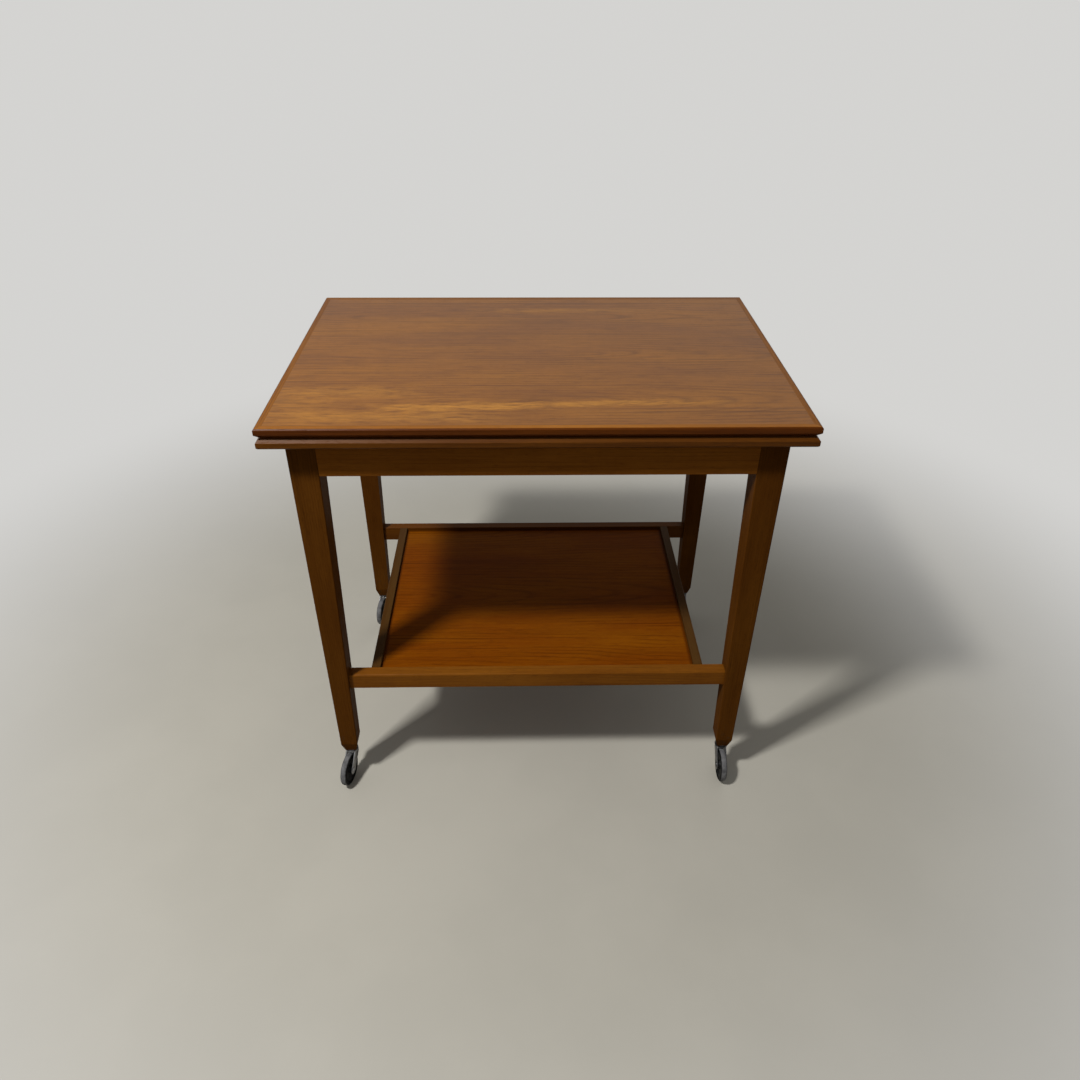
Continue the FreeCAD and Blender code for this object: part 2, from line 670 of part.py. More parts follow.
def short_apron(name, side):
    """A left or right apron.  Local X runs along it and local Y runs inwards from its outer face."""
    flat = box(f"{name}_flat", ("leg_gap_y", "apron_thickness", "apron_height"),
               ("-leg_gap_y / 2", "0", "0"))
    eased = ease(f"{name}_eased", flat, "edge_fillet",
                 lambda edge: runs_along(edge, (1, 0, 0)) and edge.CenterOfMass.z < 1)
    tenon = box(f"{name}_tenon", ("leg_gap_y + 2 * tenon_length", "tenon_thickness", "tenon_height"),
                ("-leg_gap_y / 2 - tenon_length", "tenon_inset", "tenon_bottom_shoulder"))
    seat = rod(f"{name}_glide_seat", "glide_radius + joint_clearance", "glide_recess",
               ("0", "apron_thickness / 2", "apron_height - glide_recess"))
    piece = cut(name, fuse(f"{name}_blank", [eased, tenon]), [seat])
    sign, turn = ("-", "-90") if side == "left" else ("", "90")
    node(piece, name, (f"{sign}frame_width / 2", "0", "apron_bottom"), turn)


def leg(name, at, turn, rail_face):
    """A square leg from its outer corner, which is upright.  The two inner faces taper.

    Steep bevels on all four sides narrow its foot.

    Local +X and +Y run inwards.  rail_face is the inner face, "x" or "y", that takes a shelf rail.
    """
    body = body_of(name)
    total = "(leg_taper_height + apron_height)"
    foot = polygon(body, f"{name}_section", "XY_Plane", [
        ("0", "0"), ("leg_top_side", "0"), ("leg_top_side", "leg_top_side"), ("0", "leg_top_side")])
    pad(body, f"{name}_blank", foot, total)
    waste = [("leg_foot_side", "0"), ("leg_top_side", "leg_taper_height"),
             ("2 * leg_top_side", "leg_taper_height"), ("2 * leg_top_side", "0")]
    for role in ("XZ_Plane", "YZ_Plane"):
        pocket(body, f"{name}_taper_{role[:2]}", polygon(body, f"{name}_waste_{role[:2]}", role, waste),
               "4 * leg_top_side")
    outer_bevel = [("-leg_top_side", "0"), ("leg_foot_bevel", "0"), ("0", "leg_foot_bevel_height"),
                   ("-leg_top_side", "leg_foot_bevel_height")]
    inner_bevel = [("leg_foot_side - leg_foot_bevel", "0"), ("2 * leg_top_side", "0"),
                   ("2 * leg_top_side", "leg_foot_bevel_height"),
                   ("leg_foot_side + taper * leg_foot_bevel_height", "leg_foot_bevel_height")]
    for role in ("XZ_Plane", "YZ_Plane"):
        for side, outline in (("outer", outer_bevel), ("inner", inner_bevel)):
            label = f"{name}_{side}_bevel_{role[:2]}"
            pocket(body, label, polygon(body, f"{label}_outline", role, outline), "4 * leg_top_side")
    doc.recompute()
    tapered = body.Tip
    upright = [
        f"Edge{number}"
        for number, edge in enumerate(tapered.Shape.Edges, start=1)
        if runs_along(edge, (0, 0, 1)) and min(edge.CenterOfMass.x, edge.CenterOfMass.y) < 1
    ]
    rounded = body.newObject("PartDesign::Fillet", f"{name}_round")
    rounded.Base = (tapered, upright)
    rounded.setExpression("Radius", linked("leg_edge_fillet"))
    play = "joint_clearance"
    apron_low = f"leg_taper_height + tenon_bottom_shoulder - {play}"
    apron_high = f"leg_taper_height + tenon_bottom_shoulder + tenon_height + {play}"
    deep = f"leg_top_side - tenon_length - {play}"
    out = "2 * leg_top_side"
    shelf_deep = f"shelf_tenon_side - shelf_tenon_length - {play}"
    shelf_low = f"shelf_tenon_base - {play}"
    shelf_high = f"shelf_tenon_base + shelf_tenon_height + {play}"
    for face, role in (("x", "XZ_Plane"), ("y", "YZ_Plane")):
        mortise(body, f"{name}_mortise_{face}", role, (deep, apron_low, out, apron_high),
                "tenon_inset", "tenon_thickness")
        if face == rail_face:
            mortise(body, f"{name}_shelf_mortise", role, (shelf_deep, shelf_low, out, shelf_high),
                    "shelf_tenon_inset", "shelf_tenon_thickness")
    centre = ("leg_foot_side / 2", "leg_foot_side / 2")
    pocket(body, f"{name}_socket_hole", circle(body, f"{name}_socket_circle", "XY_Plane", centre,
                                               "socket_radius + joint_clearance"),
           "2 * (stem_length + moving_gap)")
    return node(body, name, at, turn)


def mortise(body, name, role, outline, inset, thickness):
    """A slot in the band from inset to inset + thickness behind the sketch's plane."""
    low_u, low_v, high_u, high_v = outline
    drawing = polygon(body, f"{name}_outline", role, [
        (low_u, low_v), (high_u, low_v), (high_u, high_v), (low_u, high_v)])
    toward = "" if role == "YZ_Plane" else "-"
    drawing.setExpression("AttachmentOffset.Base.z",
                          linked(f"{toward}({inset} + {thickness} / 2)"))
    pocket(body, name, drawing, f"{thickness} + 2 * joint_clearance")


# ---------------------------------------------------------------- tray shelf

def shelf_long_rail(name, side):
    """A front or back shelf rail with tenons into the legs and a groove for the panel."""
    body = body_of(name)
    outline = polygon(body, f"{name}_outline", "XZ_Plane", [
        ("-rail_base_reach", "0"), ("rail_base_reach", "0"),
        ("rail_top_reach", "shelf_rail_height"), ("-rail_top_reach", "shelf_rail_height")])
    pad(body, f"{name}_pad", outline, "shelf_rail_thickness", reverse=True)
    depth, height = sheet.get("shelf_rail_thickness"), sheet.get("shelf_rail_height")
    for step, radius, corners in (("brow", "shelf_rail_round", [(0, height)]),
                                  ("round", "edge_fillet", [(0, 0), (depth, 0), (depth, height)])):
        doc.recompute()
        base = body.Tip
        chosen = [
            f"Edge{number}"
            for number, edge in enumerate(base.Shape.Edges, start=1)
            if runs_along(edge, (1, 0, 0))
            and any(abs(edge.CenterOfMass.y - y) + abs(edge.CenterOfMass.z - z) < 0.1 for y, z in corners)
        ]
        rounded = body.newObject("PartDesign::Fillet", f"{name}_{step}")
        rounded.Base = (base, chosen)
        rounded.setExpression("Radius", linked(radius))
    low = "(shelf_rail_height - shelf_tenon_height) / 2"
    reach = "(rail_base_reach - taper * (shelf_rail_height - shelf_tenon_height) / 2 + shelf_tenon_length)"
    tenon = polygon(body, f"{name}_tenon_outline", "XZ_Plane", [
        (f"-{reach}", low), (reach, low), (reach, f"{low} + shelf_tenon_height"),
        (f"-{reach}", f"{low} + shelf_tenon_height")])
    tenon.setExpression("AttachmentOffset.Base.z", linked("-shelf_rail_thickness / 2"))
    pad(body, f"{name}_tenon", tenon, "shelf_tenon_thickness", both_ways=True)
    groove = polygon(body, f"{name}_groove_outline", "XZ_Plane", [
        ("-shelf_side_span / 2", "groove_base"), ("shelf_side_span / 2", "groove_base"),
        ("shelf_side_span / 2", "groove_base + groove_height"),
        ("-shelf_side_span / 2", "groove_base + groove_height")])
    groove.setExpression("AttachmentOffset.Base.z", linked("-shelf_rail_thickness"))
    body.Tip = pocket(body, f"{name}_groove", groove, "2 * groove_depth")
    sign, turn = ("-", "0") if side == "front" else ("", "180")
    return node(body, name, ("0", f"{sign}(frame_depth / 2 - shelf_rail_setback)",
                             "caster_height + rail_base"), turn)


def shelf_side_rail(name, side):
    """A side rail of the tray, with stub tenons in the long rails' grooves."""
    flat = box(f"{name}_flat", ("2 * rail_inner_y", "shelf_side_thickness", "shelf_rail_height"),
               ("-rail_inner_y", "0", "0"))
    eased = ease(f"{name}_eased", flat, "edge_fillet", lambda edge: runs_along(edge, (1, 0, 0)))
    stub = "(groove_depth - joint_clearance)"
    tenon = box(f"{name}_stub", (f"2 * rail_inner_y + 2 * {stub}",
                                 "shelf_side_thickness - joint_clearance - edge_fillet", "panel_tongue"),
                (f"-rail_inner_y - {stub}", "joint_clearance + edge_fillet", "panel_base"))
    groove = box(f"{name}_groove", ("2 * panel_half_depth + 2 * joint_clearance", "groove_depth",
                                    "groove_height"),
                 ("-panel_half_depth - joint_clearance", "shelf_side_thickness - groove_depth",
                  "groove_base"))
    piece = cut(name, fuse(f"{name}_blank", [eased, tenon]), [groove])
    sign, turn = ("-", "-90") if side == "left" else ("", "90")
    node(piece, name, (f"{sign}shelf_side_span / 2", "0", "caster_height + rail_base"), turn)


def shelf_panel():
    """The tray's panel: a field between the rails with a thinner tongue round it in their grooves."""
    half_width = "(shelf_side_span / 2 - shelf_side_thickness - joint_clearance)"
    half_depth = "(rail_inner_y - joint_clearance)"
    tongue = box("shelf_panel_tongue", ("2 * panel_half_width", "2 * panel_half_depth", "panel_tongue"),
                 ("-panel_half_width", "-panel_half_depth", "0"))
    field = box("shelf_panel_field", (f"2 * {half_width}", f"2 * {half_depth}", "panel_thickness"),
                (f"-{half_width}", f"-{half_depth}", "0"))
    node(fuse("shelf_panel", [tongue, field]), "shelf_panel",
         ("0", "0", "caster_height + rail_base + panel_base"))


# ---------------------------------------------------------------- casters

def fork(name):
    """A pressed fork: a round crown on the swivel axis and two cheeks that slant down to the axle."""
    body = body_of(name)
    centre = ("caster_trail", "wheel_radius")
    side = polygon(body, f"{name}_side", "XZ_Plane", [
        ("-crown_half", "crown_top"), ("-crown_half", "crown_top - fork_shoulder"),
        ("caster_trail - lobe_corner", "wheel_radius - lobe_corner"),
        ("caster_trail + lobe_corner", "wheel_radius + lobe_corner"),
        ("crown_half", "crown_underside"), ("crown_half", "crown_top")])
    pad(body, f"{name}_cheeks", side, "fork_width", both_ways=True)
    pad(body, f"{name}_lobe", circle(body, f"{name}_lobe_circle", "XZ_Plane", centre, "fork_lobe_radius"),
        "fork_width", both_ways=True)
    crown = circle(body, f"{name}_crown_circle", "XY_Plane", ("0", "0"), "crown_radius")
    crown.setExpression("AttachmentOffset.Base.z", linked("crown_top"))
    pad(body, f"{name}_crown", crown, "crown_thickness", reverse=True)
    low, high = "-2 * crown_radius", "caster_trail + 2 * fork_lobe_radius"
    inside = polygon(body, f"{name}_inside", "XZ_Plane", [
        (low, "-crown_radius"), (high, "-crown_radius"), (high, "crown_underside"),
        (low, "crown_underside")])
    pocket(body, f"{name}_gap", inside, "fork_gap")
    pocket(body, f"{name}_axle_hole", circle(body, f"{name}_axle_circle", "XZ_Plane", centre,
                                             "axle_radius + running_clearance"), "2 * fork_width")
    pocket(body, f"{name}_stem_hole", circle(body, f"{name}_stem_circle", "XY_Plane", ("0", "0"),
                                             "stem_radius + running_clearance"), "4 * crown_top")
    return body


def stem(name):
    """The stem: a rivet head under the fork's crown, a waisted collar and the pin in the socket."""
    return turned(name, "XZ_Plane", [
        ("0", "crown_underside - rivet_height"),
        ("rivet_radius", "crown_underside - rivet_height"),
        ("rivet_radius", "crown_underside"),
        ("stem_radius", "crown_underside"),
        ("stem_radius", "crown_top"),
        ("collar_waist_radius", "crown_top"),
        ("collar_waist_radius", "crown_top + 0.4 * collar_height"),
        ("collar_radius", "crown_top + 0.6 * collar_height"),
        ("collar_radius", "collar_top"),
        ("stem_radius", "collar_top"),
        ("stem_radius", "caster_height + stem_length - 1"),
        ("stem_radius - 1", "caster_height + stem_length"),
        ("0", "caster_height + stem_length"),
    ])


def axle(name):
    """A rivet across the cheeks, as a turned body about local Y."""
    half = "fork_width / 2"
    return turned(name, "XY_Plane", [
        ("0", f"-{half} - axle_head_height"),
        ("axle_head_radius - axle_head_height / 2", f"-{half} - axle_head_height"),
        ("axle_head_radius", f"-{half}"),
        ("axle_radius", f"-{half}"),
        ("axle_radius", half),
        ("axle_head_radius", half),
        ("axle_head_radius - axle_head_height / 2", f"{half} + axle_head_height"),
        ("0", f"{half} + axle_head_height"),
    ])


def wheel_core(name):
    """The wheel's centre: a long hub, a thin web and a rim that carries the tyre."""
    bore = "axle_radius + running_clearance"
    rim = "core_radius - hub_rim_thickness"
    return turned(name, "XY_Plane", [
        (bore, "-hub_width / 2"), ("hub_radius", "-hub_width / 2"), ("hub_radius", "-hub_web / 2"),
        (rim, "-hub_web / 2"), (rim, "-hub_rim_width / 2"), ("core_radius", "-hub_rim_width / 2"),
        ("core_radius", "hub_rim_width / 2"), (rim, "hub_rim_width / 2"), (rim, "hub_web / 2"),
        ("hub_radius", "hub_web / 2"), ("hub_radius", "hub_width / 2"), (bore, "hub_width / 2"),
    ])


def tyre(name):
    """A solid rubber tyre with rounded shoulders."""
    body = turned(name, "XY_Plane", [
        ("core_radius", "-tyre_width / 2"), ("wheel_radius", "-tyre_width / 2"),
        ("wheel_radius", "tyre_width / 2"), ("core_radius", "tyre_width / 2"),
    ])
    doc.recompute()
    half_way = sheet.get("wheel_radius") - 0.5
    rims = [
        f"Edge{number}"
        for number, edge in enumerate(body.Tip.Shape.Edges, start=1)
        if edge.Curve.TypeId == "Part::GeomCircle" and edge.Curve.Radius > half_way
    ]
    rounded = body.newObject("PartDesign::Fillet", f"{name}_shoulders")
    rounded.Base = (body.getObject(f"{name}_turn"), rims)
    rounded.setExpression("Radius", linked("tyre_shoulder"))
    body.Tip = rounded
    return body


def caster(corner, side_x, side_y):
    """One caster at a leg's foot: fork, stem and axle swivel together, and the wheel spins."""
    heading = f"{corner}_heading"
    at = (f"{side_x}swivel_x", f"{side_y}swivel_y", "0")
    wheel_at = (f"{at[0]} + caster_trail * cos({heading})", f"{at[1]} + caster_trail * sin({heading})",
                "wheel_radius")
    node(fork(f"caster_{corner}_fork"), f"caster_{corner}_fork", at, heading)
    node(stem(f"caster_{corner}_stem"), f"caster_{corner}_stem", at, heading)
    node(axle(f"caster_{corner}_axle"), f"caster_{corner}_axle", wheel_at, heading)
    node(wheel_core(f"caster_{corner}_wheel"), f"caster_{corner}_wheel", wheel_at, heading)
    node(tyre(f"caster_{corner}_tyre"), f"caster_{corner}_tyre", wheel_at, heading)


def caster_sockets(corners):
    """The four steel sockets driven up into the legs."""
    sockets = []
    for corner, side_x, side_y in corners:
        at = (f"{side_x}swivel_x", f"{side_y}swivel_y")
        flange = rod(f"{corner}_flange", "socket_flange_radius", "socket_flange_thickness",
                     at + ("socket_flange_base",))
        sleeve = rod(f"{corner}_sleeve", "socket_radius", "stem_length + socket_flange_thickness",
                     at + ("socket_flange_base",))
        bore = rod(f"{corner}_bore", "stem_radius + running_clearance",
                   "stem_length + 2 * socket_flange_thickness", at + ("socket_flange_base",))
        sockets.append(cut(f"{corner}_socket", fuse(f"{corner}_socket_blank", [flange, sleeve]), [bore]))
    group("caster_sockets", sockets)


# ---------------------------------------------------------------- the whole trolley

CORNERS = (
    ("front_left", "-", "-"),
    ("front_right", "", "-"),
    ("back_left", "-", ""),
    ("back_right", "", ""),
)

for level, base in (("lower", "lower_leaf_bottom"), ("upper", "upper_leaf_bottom")):
    leaf_board(level, base)
    leaf_lipping(level, base)
    hinge_screws(level)
for side, middle in hinge_places():
    hinge_plate(side, "lower", middle)
    hinge_plate(side, "upper", middle)
    hinge_pin(side, middle)
pivot_parts()
pivot_rail()
for side in ("front", "back"):
    long_apron(f"{side}_apron", side)
    shelf_long_rail(f"shelf_{side}_rail", side)
for side in ("left", "right"):
    short_apron(f"{side}_apron", side)
    shelf_side_rail(f"shelf_{side}_rail", side)
shelf_panel()
group("felt_glides", [
    rod(f"glide_{side}_{index}", "glide_radius", "glide_recess + top_to_frame - glide_gap",
        spot + ("frame_top - glide_recess",))
    for side, spots in glide_places().items()
    for index, spot in enumerate(spots)
])
leg("leg_front_left", ("-frame_width / 2", "-frame_depth / 2", "caster_height"), "0", "x")
leg("leg_front_right", ("frame_width / 2", "-frame_depth / 2", "caster_height"), "90", "y")
leg("leg_back_right", ("frame_width / 2", "frame_depth / 2", "caster_height"), "180", "x")
leg("leg_back_left", ("-frame_width / 2", "frame_depth / 2", "caster_height"), "-90", "y")
for corner in CORNERS:
    caster(*corner)
caster_sockets(CORNERS)

doc.recompute()
broken = [item.Name for item in doc.Objects if {"Invalid", "Error"} & set(item.State)]
if broken:
    raise RuntimeError(f"objects that failed to build: {broken}")
for name, item in nodes.items():
    if item.Shape.isNull() or not item.Shape.isValid() or not item.Shape.Solids:
        raise RuntimeError(f"{name} has no valid solid")
os.makedirs("parts", exist_ok=True)
for name, item in nodes.items():
    item.Shape.exportStep(f"parts/{name}.step")
print(f"{len(nodes)} pieces")
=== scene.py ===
"""Finishes, small fittings, floor, lamps and camera for a folding tea trolley on casters.

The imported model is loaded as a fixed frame.  Its solids get wood, metal, rubber and felt finishes
worked out from their own coordinates, and the small metal fittings and the wheels are replaced by
more detailed pieces that sit in the same places.  Lengths are in metres.
"""

import logging
import math
from abc import ABC, abstractmethod
from collections.abc import Iterable, Iterator
from dataclasses import dataclass, field, replace
from enum import Enum

import bmesh
import bpy
from mathutils import Matrix, Vector


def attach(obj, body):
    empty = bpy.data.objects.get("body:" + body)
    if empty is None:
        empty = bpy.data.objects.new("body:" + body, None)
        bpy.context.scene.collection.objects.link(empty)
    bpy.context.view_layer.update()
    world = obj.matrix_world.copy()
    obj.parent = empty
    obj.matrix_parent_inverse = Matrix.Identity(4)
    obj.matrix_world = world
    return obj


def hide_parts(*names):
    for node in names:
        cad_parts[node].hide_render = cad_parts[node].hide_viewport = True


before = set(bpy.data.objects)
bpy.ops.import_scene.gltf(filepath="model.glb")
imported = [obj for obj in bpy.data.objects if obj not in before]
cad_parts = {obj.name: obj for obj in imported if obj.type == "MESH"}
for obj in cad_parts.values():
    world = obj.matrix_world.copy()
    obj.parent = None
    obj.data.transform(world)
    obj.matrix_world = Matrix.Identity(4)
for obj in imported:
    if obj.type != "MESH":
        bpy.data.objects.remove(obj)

log = logging.getLogger("trolley")

Colour = tuple[float, float, float]
Point = tuple[float, float, float]
Span = tuple[float, float]
MM = 0.001


# ---------------------------------------------------------------- shader workbench


class Field:
    """A number, colour or vector that varies over a surface, with arithmetic on numbers."""

    def __init__(self, bench: "Bench", socket: bpy.types.NodeSocket) -> None:
        """Wrap an output socket.

        Args:
            bench: The workbench whose tree the socket belongs to.
            socket: The output socket.
        """
        self.bench = bench
        self.socket = socket

    def _math(self, operation: str, *values: "Field | float") -> "Field":
        """Add a Math node.

        Args:
            operation: The Math node's operation.
            values: What goes into its sockets, in order.

        Returns:
            The node's result.
        """
        node = self.bench.node("ShaderNodeMath", {"operation": operation}, dict(enumerate(values)))
        return Field(self.bench, node.outputs[0])

    def __add__(self, other: "Field | float") -> "Field":
        """Return the sum."""
        return self._math("ADD", self, other)

    __radd__ = __add__

    def __sub__(self, other: "Field | float") -> "Field":
        """Return the difference."""
        return self._math("SUBTRACT", self, other)

    def __rsub__(self, other: float) -> "Field":
        """Return a number less this field."""
        return self._math("SUBTRACT", other, self)

    def __mul__(self, other: "Field | float") -> "Field":
        """Return the product."""
        return self._math("MULTIPLY", self, other)

    __rmul__ = __mul__

    def __truediv__(self, other: "Field | float") -> "Field":
        """Return the quotient."""
        return self._math("DIVIDE", self, other)

    def __pow__(self, other: float) -> "Field":
        """Return this field raised to a power."""
        return self._math("POWER", self, other)

    def __abs__(self) -> "Field":
        """Return the size without the sign."""
        return self._math("ABSOLUTE", self)

    def sine(self) -> "Field":
        """Return the sine of an angle in radians."""
        return self._math("SINE", self)

    def whole(self) -> "Field":
        """Return the whole part."""
        return self._math("FLOOR", self)

    def part(self) -> "Field":
        """Return what is left over the whole part."""
        return self._math("FRACT", self)

    def root(self) -> "Field":
        """Return the square root."""
        return self._math("SQRT", self)

    def below(self, other: "Field | float") -> "Field":
        """Return 1 where this field is the smaller, and 0 elsewhere."""
        return self._math("LESS_THAN", self, other)

    def lesser(self, other: "Field | float") -> "Field":
        """Return the smaller of the two."""
        return self._math("MINIMUM", self, other)

    def greater(self, other: "Field | float") -> "Field":
        """Return the greater of the two."""
        return self._math("MAXIMUM", self, other)

    def rise(self, start: float, end: float) -> "Field":
        """Return a smooth step.

        Args:
            start: Where the step leaves 0.
            end: Where it reaches 1.  A lower number than start makes a fall.

        Returns:
            The step, from 0 to 1.
        """
        node = self.bench.node(
            "ShaderNodeMapRange",
            {"interpolation_type": "SMOOTHSTEP"},
            {"Value": self, "From Min": start, "From Max": end},
        )
        return Field(self.bench, node.outputs["Result"])


class Bench:
    """The node tree of a material or of the world, with the few tools that the finishes share."""

    def __init__(self, owner: bpy.types.Material | bpy.types.World) -> None:
        """Clear the owner's node tree.

        Args:
            owner: The material or world that the nodes belong to.
        """
        self.owner = owner
        self.owner.use_nodes = True
        self.tree = self.owner.node_tree
        self.tree.nodes.clear()
        self._coordinates = self.node("ShaderNodeTexCoord")

    def node(
        self,
        kind: str,
        settings: dict[str, object] | None = None,
        inputs: dict[str | int, object] | None = None,
    ) -> bpy.types.Node:
        """Add any node.

        Args:
            kind: The node's type.
            settings: Its own settings, which are made first.
            inputs: Values or links for its sockets, by name or number.

        Returns:
            The node.
        """
        node = self.tree.nodes.new(kind)
        for key, value in (settings or {}).items():
            setattr(node, key, value)
        for key, value in (inputs or {}).items():
            self._feed(node.inputs[key], value)
        return node

    def _feed(self, socket: bpy.types.NodeSocket, value: object) -> None:
        """Link or set one input socket.

        Args:
            socket: The input socket.
            value: A field, a socket, a number, or a colour or vector.
        """
        if isinstance(value, Field):
            self.tree.links.new(value.socket, socket)
        elif isinstance(value, bpy.types.NodeSocket):
            self.tree.links.new(value, socket)
        elif isinstance(value, tuple) and socket.type == "RGBA":
            socket.default_value = (*value, 1.0)
        else:
            socket.default_value = value

    def parts(self, vector: str) -> tuple[Field, Field, Field]:
        """Split one of the Texture Coordinate node's vectors.

        Args:
            vector: The vector's name.

        Returns:
            Its three parts.
        """
        split = self.node("ShaderNodeSeparateXYZ", inputs={0: self._coordinates.outputs[vector]})
        x, y, z = (Field(self, output) for output in split.outputs)
        return x, y, z

    def place(self) -> tuple[Field, Field, Field]:
        """Return the three coordinates of a point of the surface, in metres."""
        return self.parts("Object")

    def level(self) -> Field:
        """Return 1 where the surface lies flat, down to 0 where it stands upright."""
        return abs(self.parts("Normal")[2])

    def attribute(self, name: str) -> Field:
        """Return a number that is painted on the piece's mesh."""
        node = self.node("ShaderNodeAttribute", {"attribute_name": name})
        return Field(self, node.outputs["Fac"])

    def seen(self) -> Field:
        """Tell what the camera sees from what only lights the object.

        Returns:
            1 for a ray from the camera, a reflection or glass, and 0 for the others.
        """
        path = self.node("ShaderNodeLightPath")
        camera, glossy, glass = (
            Field(self, path.outputs[f"Is {ray} Ray"])
            for ray in ("Camera", "Glossy", "Transmission")
        )
        return camera.greater(glossy).greater(glass)

    def noise(
        self,
        along: Field | float,
        across: Field | float,
        depth: Field | float,
        detail: float,
        rough: float,
        wander: float = 0.0,
    ) -> Field:
        """Add a noise whose cells are one unit wide.

        Args:
            along: First coordinate, in cells.
            across: Second coordinate, in cells.
            depth: Third coordinate, in cells.
            detail: How many finer layers it has.
            rough: How strong the finer layers are.
            wander: How far the cells are bent.

        Returns:
            The noise, about 0.5.
        """
        point = self.node("ShaderNodeCombineXYZ", inputs={0: along, 1: across, 2: depth})
        node = self.node(
            "ShaderNodeTexNoise",
            inputs={
                "Vector": point.outputs[0],
                "Scale": 1.0,
                "Detail": detail,
                "Roughness": rough,
                "Distortion": wander,
            },
        )
        return Field(self, node.outputs["Fac"])

    def speckle(self, speckle: "Speckle") -> Field:
        """Add a noise whose cells are equally wide each way.

        Args:
            speckle: The noise's settings.

        Returns:
            The noise, about 0.5.
        """
        x, y, z = (coordinate / speckle.size for coordinate in self.place())
        return self.noise(x + speckle.seed, y, z, speckle.detail, speckle.rough)

    def patches(self, speckle: "Speckle") -> Field:
        """Return such a noise with its step, from 0 to 1."""
        return self.speckle(speckle).rise(*speckle.step)

    def blend(
        self, share: Field | float, first: Field | Colour, second: Field | Colour, way: str = "MIX"
    ) -> Field:
        """Mix two colours.

        Args:
            share: How much of the second colour shows.
            first: The first colour.
            second: The second colour.
            way: The Mix node's blend type.

        Returns:
            The colour.
        """
        node = self.node(
            "ShaderNodeMix",
            {"data_type": "RGBA", "blend_type": way, "clamp_factor": True},
            {0: share, 6: first, 7: second},
        )
        return Field(self, node.outputs[2])

    def relief(self, height: Field, depth: float, strength: float) -> Field:
        """Turn a height field into a bent normal.

        Args:
            height: The height, from 0 to 1.
            depth: What a height of 1 is in metres.
            strength: How much of the bend is used.

        Returns:
            The normal.
        """
        node = self.node(
            "ShaderNodeBump", inputs={"Strength": strength, "Distance": depth, "Height": height}
        )
        return Field(self, node.outputs["Normal"])

    def finish(self, **inputs: object) -> bpy.types.Material:
        """Close the material with one surface shader.

        Args:
            inputs: The shader's sockets, with underscores for the spaces of their names.

        Returns:
            The material.
        """
        named = {key.replace("_", " "): value for key, value in inputs.items()}
        shader = self.node("ShaderNodeBsdfPrincipled", inputs=named)
        self.node("ShaderNodeOutputMaterial", inputs={"Surface": shader.outputs[0]})
        return self.owner


# ---------------------------------------------------------------- wood


class Grain(Enum):
    """Which way the fibres run, as the axes along them, across the face and into the wood."""

    LONG = (0, 1, 2)
    CROSS = (1, 0, 2)
    UPRIGHT = (2, 0, 1)

    def turn(self, place: tuple[Field, Field, Field]) -> tuple[Field, Field, Field]:
        """Return a place's coordinates along the fibres, across the face and into the wood."""
        along, across, depth = self.value
        return place[along], place[across], place[depth]


class Figure(Enum):
    """How a board or veneer was cut from the log."""

    CROWN = "crown cut, with arched figure"
    STRAIGHT = "quarter cut, with straight lines"


@dataclass(frozen=True)
class Finish(ABC):
    """A finish, which makes its material once.

    Args:
        name: The material's name.
    """

    name: str

    def bench(self) -> Bench:
        """Start the material."""
        return Bench(bpy.data.materials.new(self.name))

    @abstractmethod
    def make(self) -> bpy.types.Material:
        """Build the material."""


@dataclass(frozen=True)
class Speckle:
    """One noise whose cells are equally wide each way.

    Args:
        size: A cell's width.
        seed: A shift that gives another part of the noise.
        detail: How many finer layers it has.
        rough: How strong the finer layers are.
        step: Where its patches leave 0 and where they reach 1.
    """

    size: float
    seed: float
    detail: float
    rough: float
    step: Span = (0.0, 1.0)


@dataclass(frozen=True)
class Layer:
    """One noise in a wood's figure, stretched along the fibres.

    Args:
        length: A cell's length along the fibres.
        width: A cell's width across them, and its depth.
        detail: How many finer layers it has.
        rough: How strong the finer layers are.
        shift: How many times the wood's seed it is moved along.
        sink: How many times the wood's seed it is moved into the wood.
        wander: How far the cells are bent.
        step: Where the layer's mask leaves 0 and where it reaches 1.
    """

    length: float
    width: float
    detail: float = 2.0
    rough: float = 0.5
    shift: float = 1.0
    sink: float = 0.0
    wander: float = 0.0
    step: Span = (0.0, 1.0)


@dataclass(frozen=True)
class Timber:
    """A point of the wood, as the fibres run.

    Args:
        bench: The workbench of the material.
        along: Where it is along the fibres.
        across: Where it is across the face.
        depth: Where it is into the wood.
        seed: A shift that gives each piece its own part of the log.
    """

    bench: Bench
    along: Field
    across: Field
    depth: Field
    seed: float = 0.0

    def noise(self, layer: Layer) -> Field:
        """Add one layer's noise.

        Args:
            layer: The layer.

        Returns:
            The noise, about 0.5.
        """
        deep = self.depth / layer.width
        if layer.sink:
            deep = deep + self.seed * layer.sink
        return self.bench.noise(
            self.along / layer.length + self.seed * layer.shift, self.across / layer.width, deep,
            layer.detail, layer.rough, layer.wander,
        )

    def mask(self, layer: Layer) -> Field:
        """Return one layer's noise with its step, from 0 to 1."""
        return self.noise(layer).rise(*layer.step)


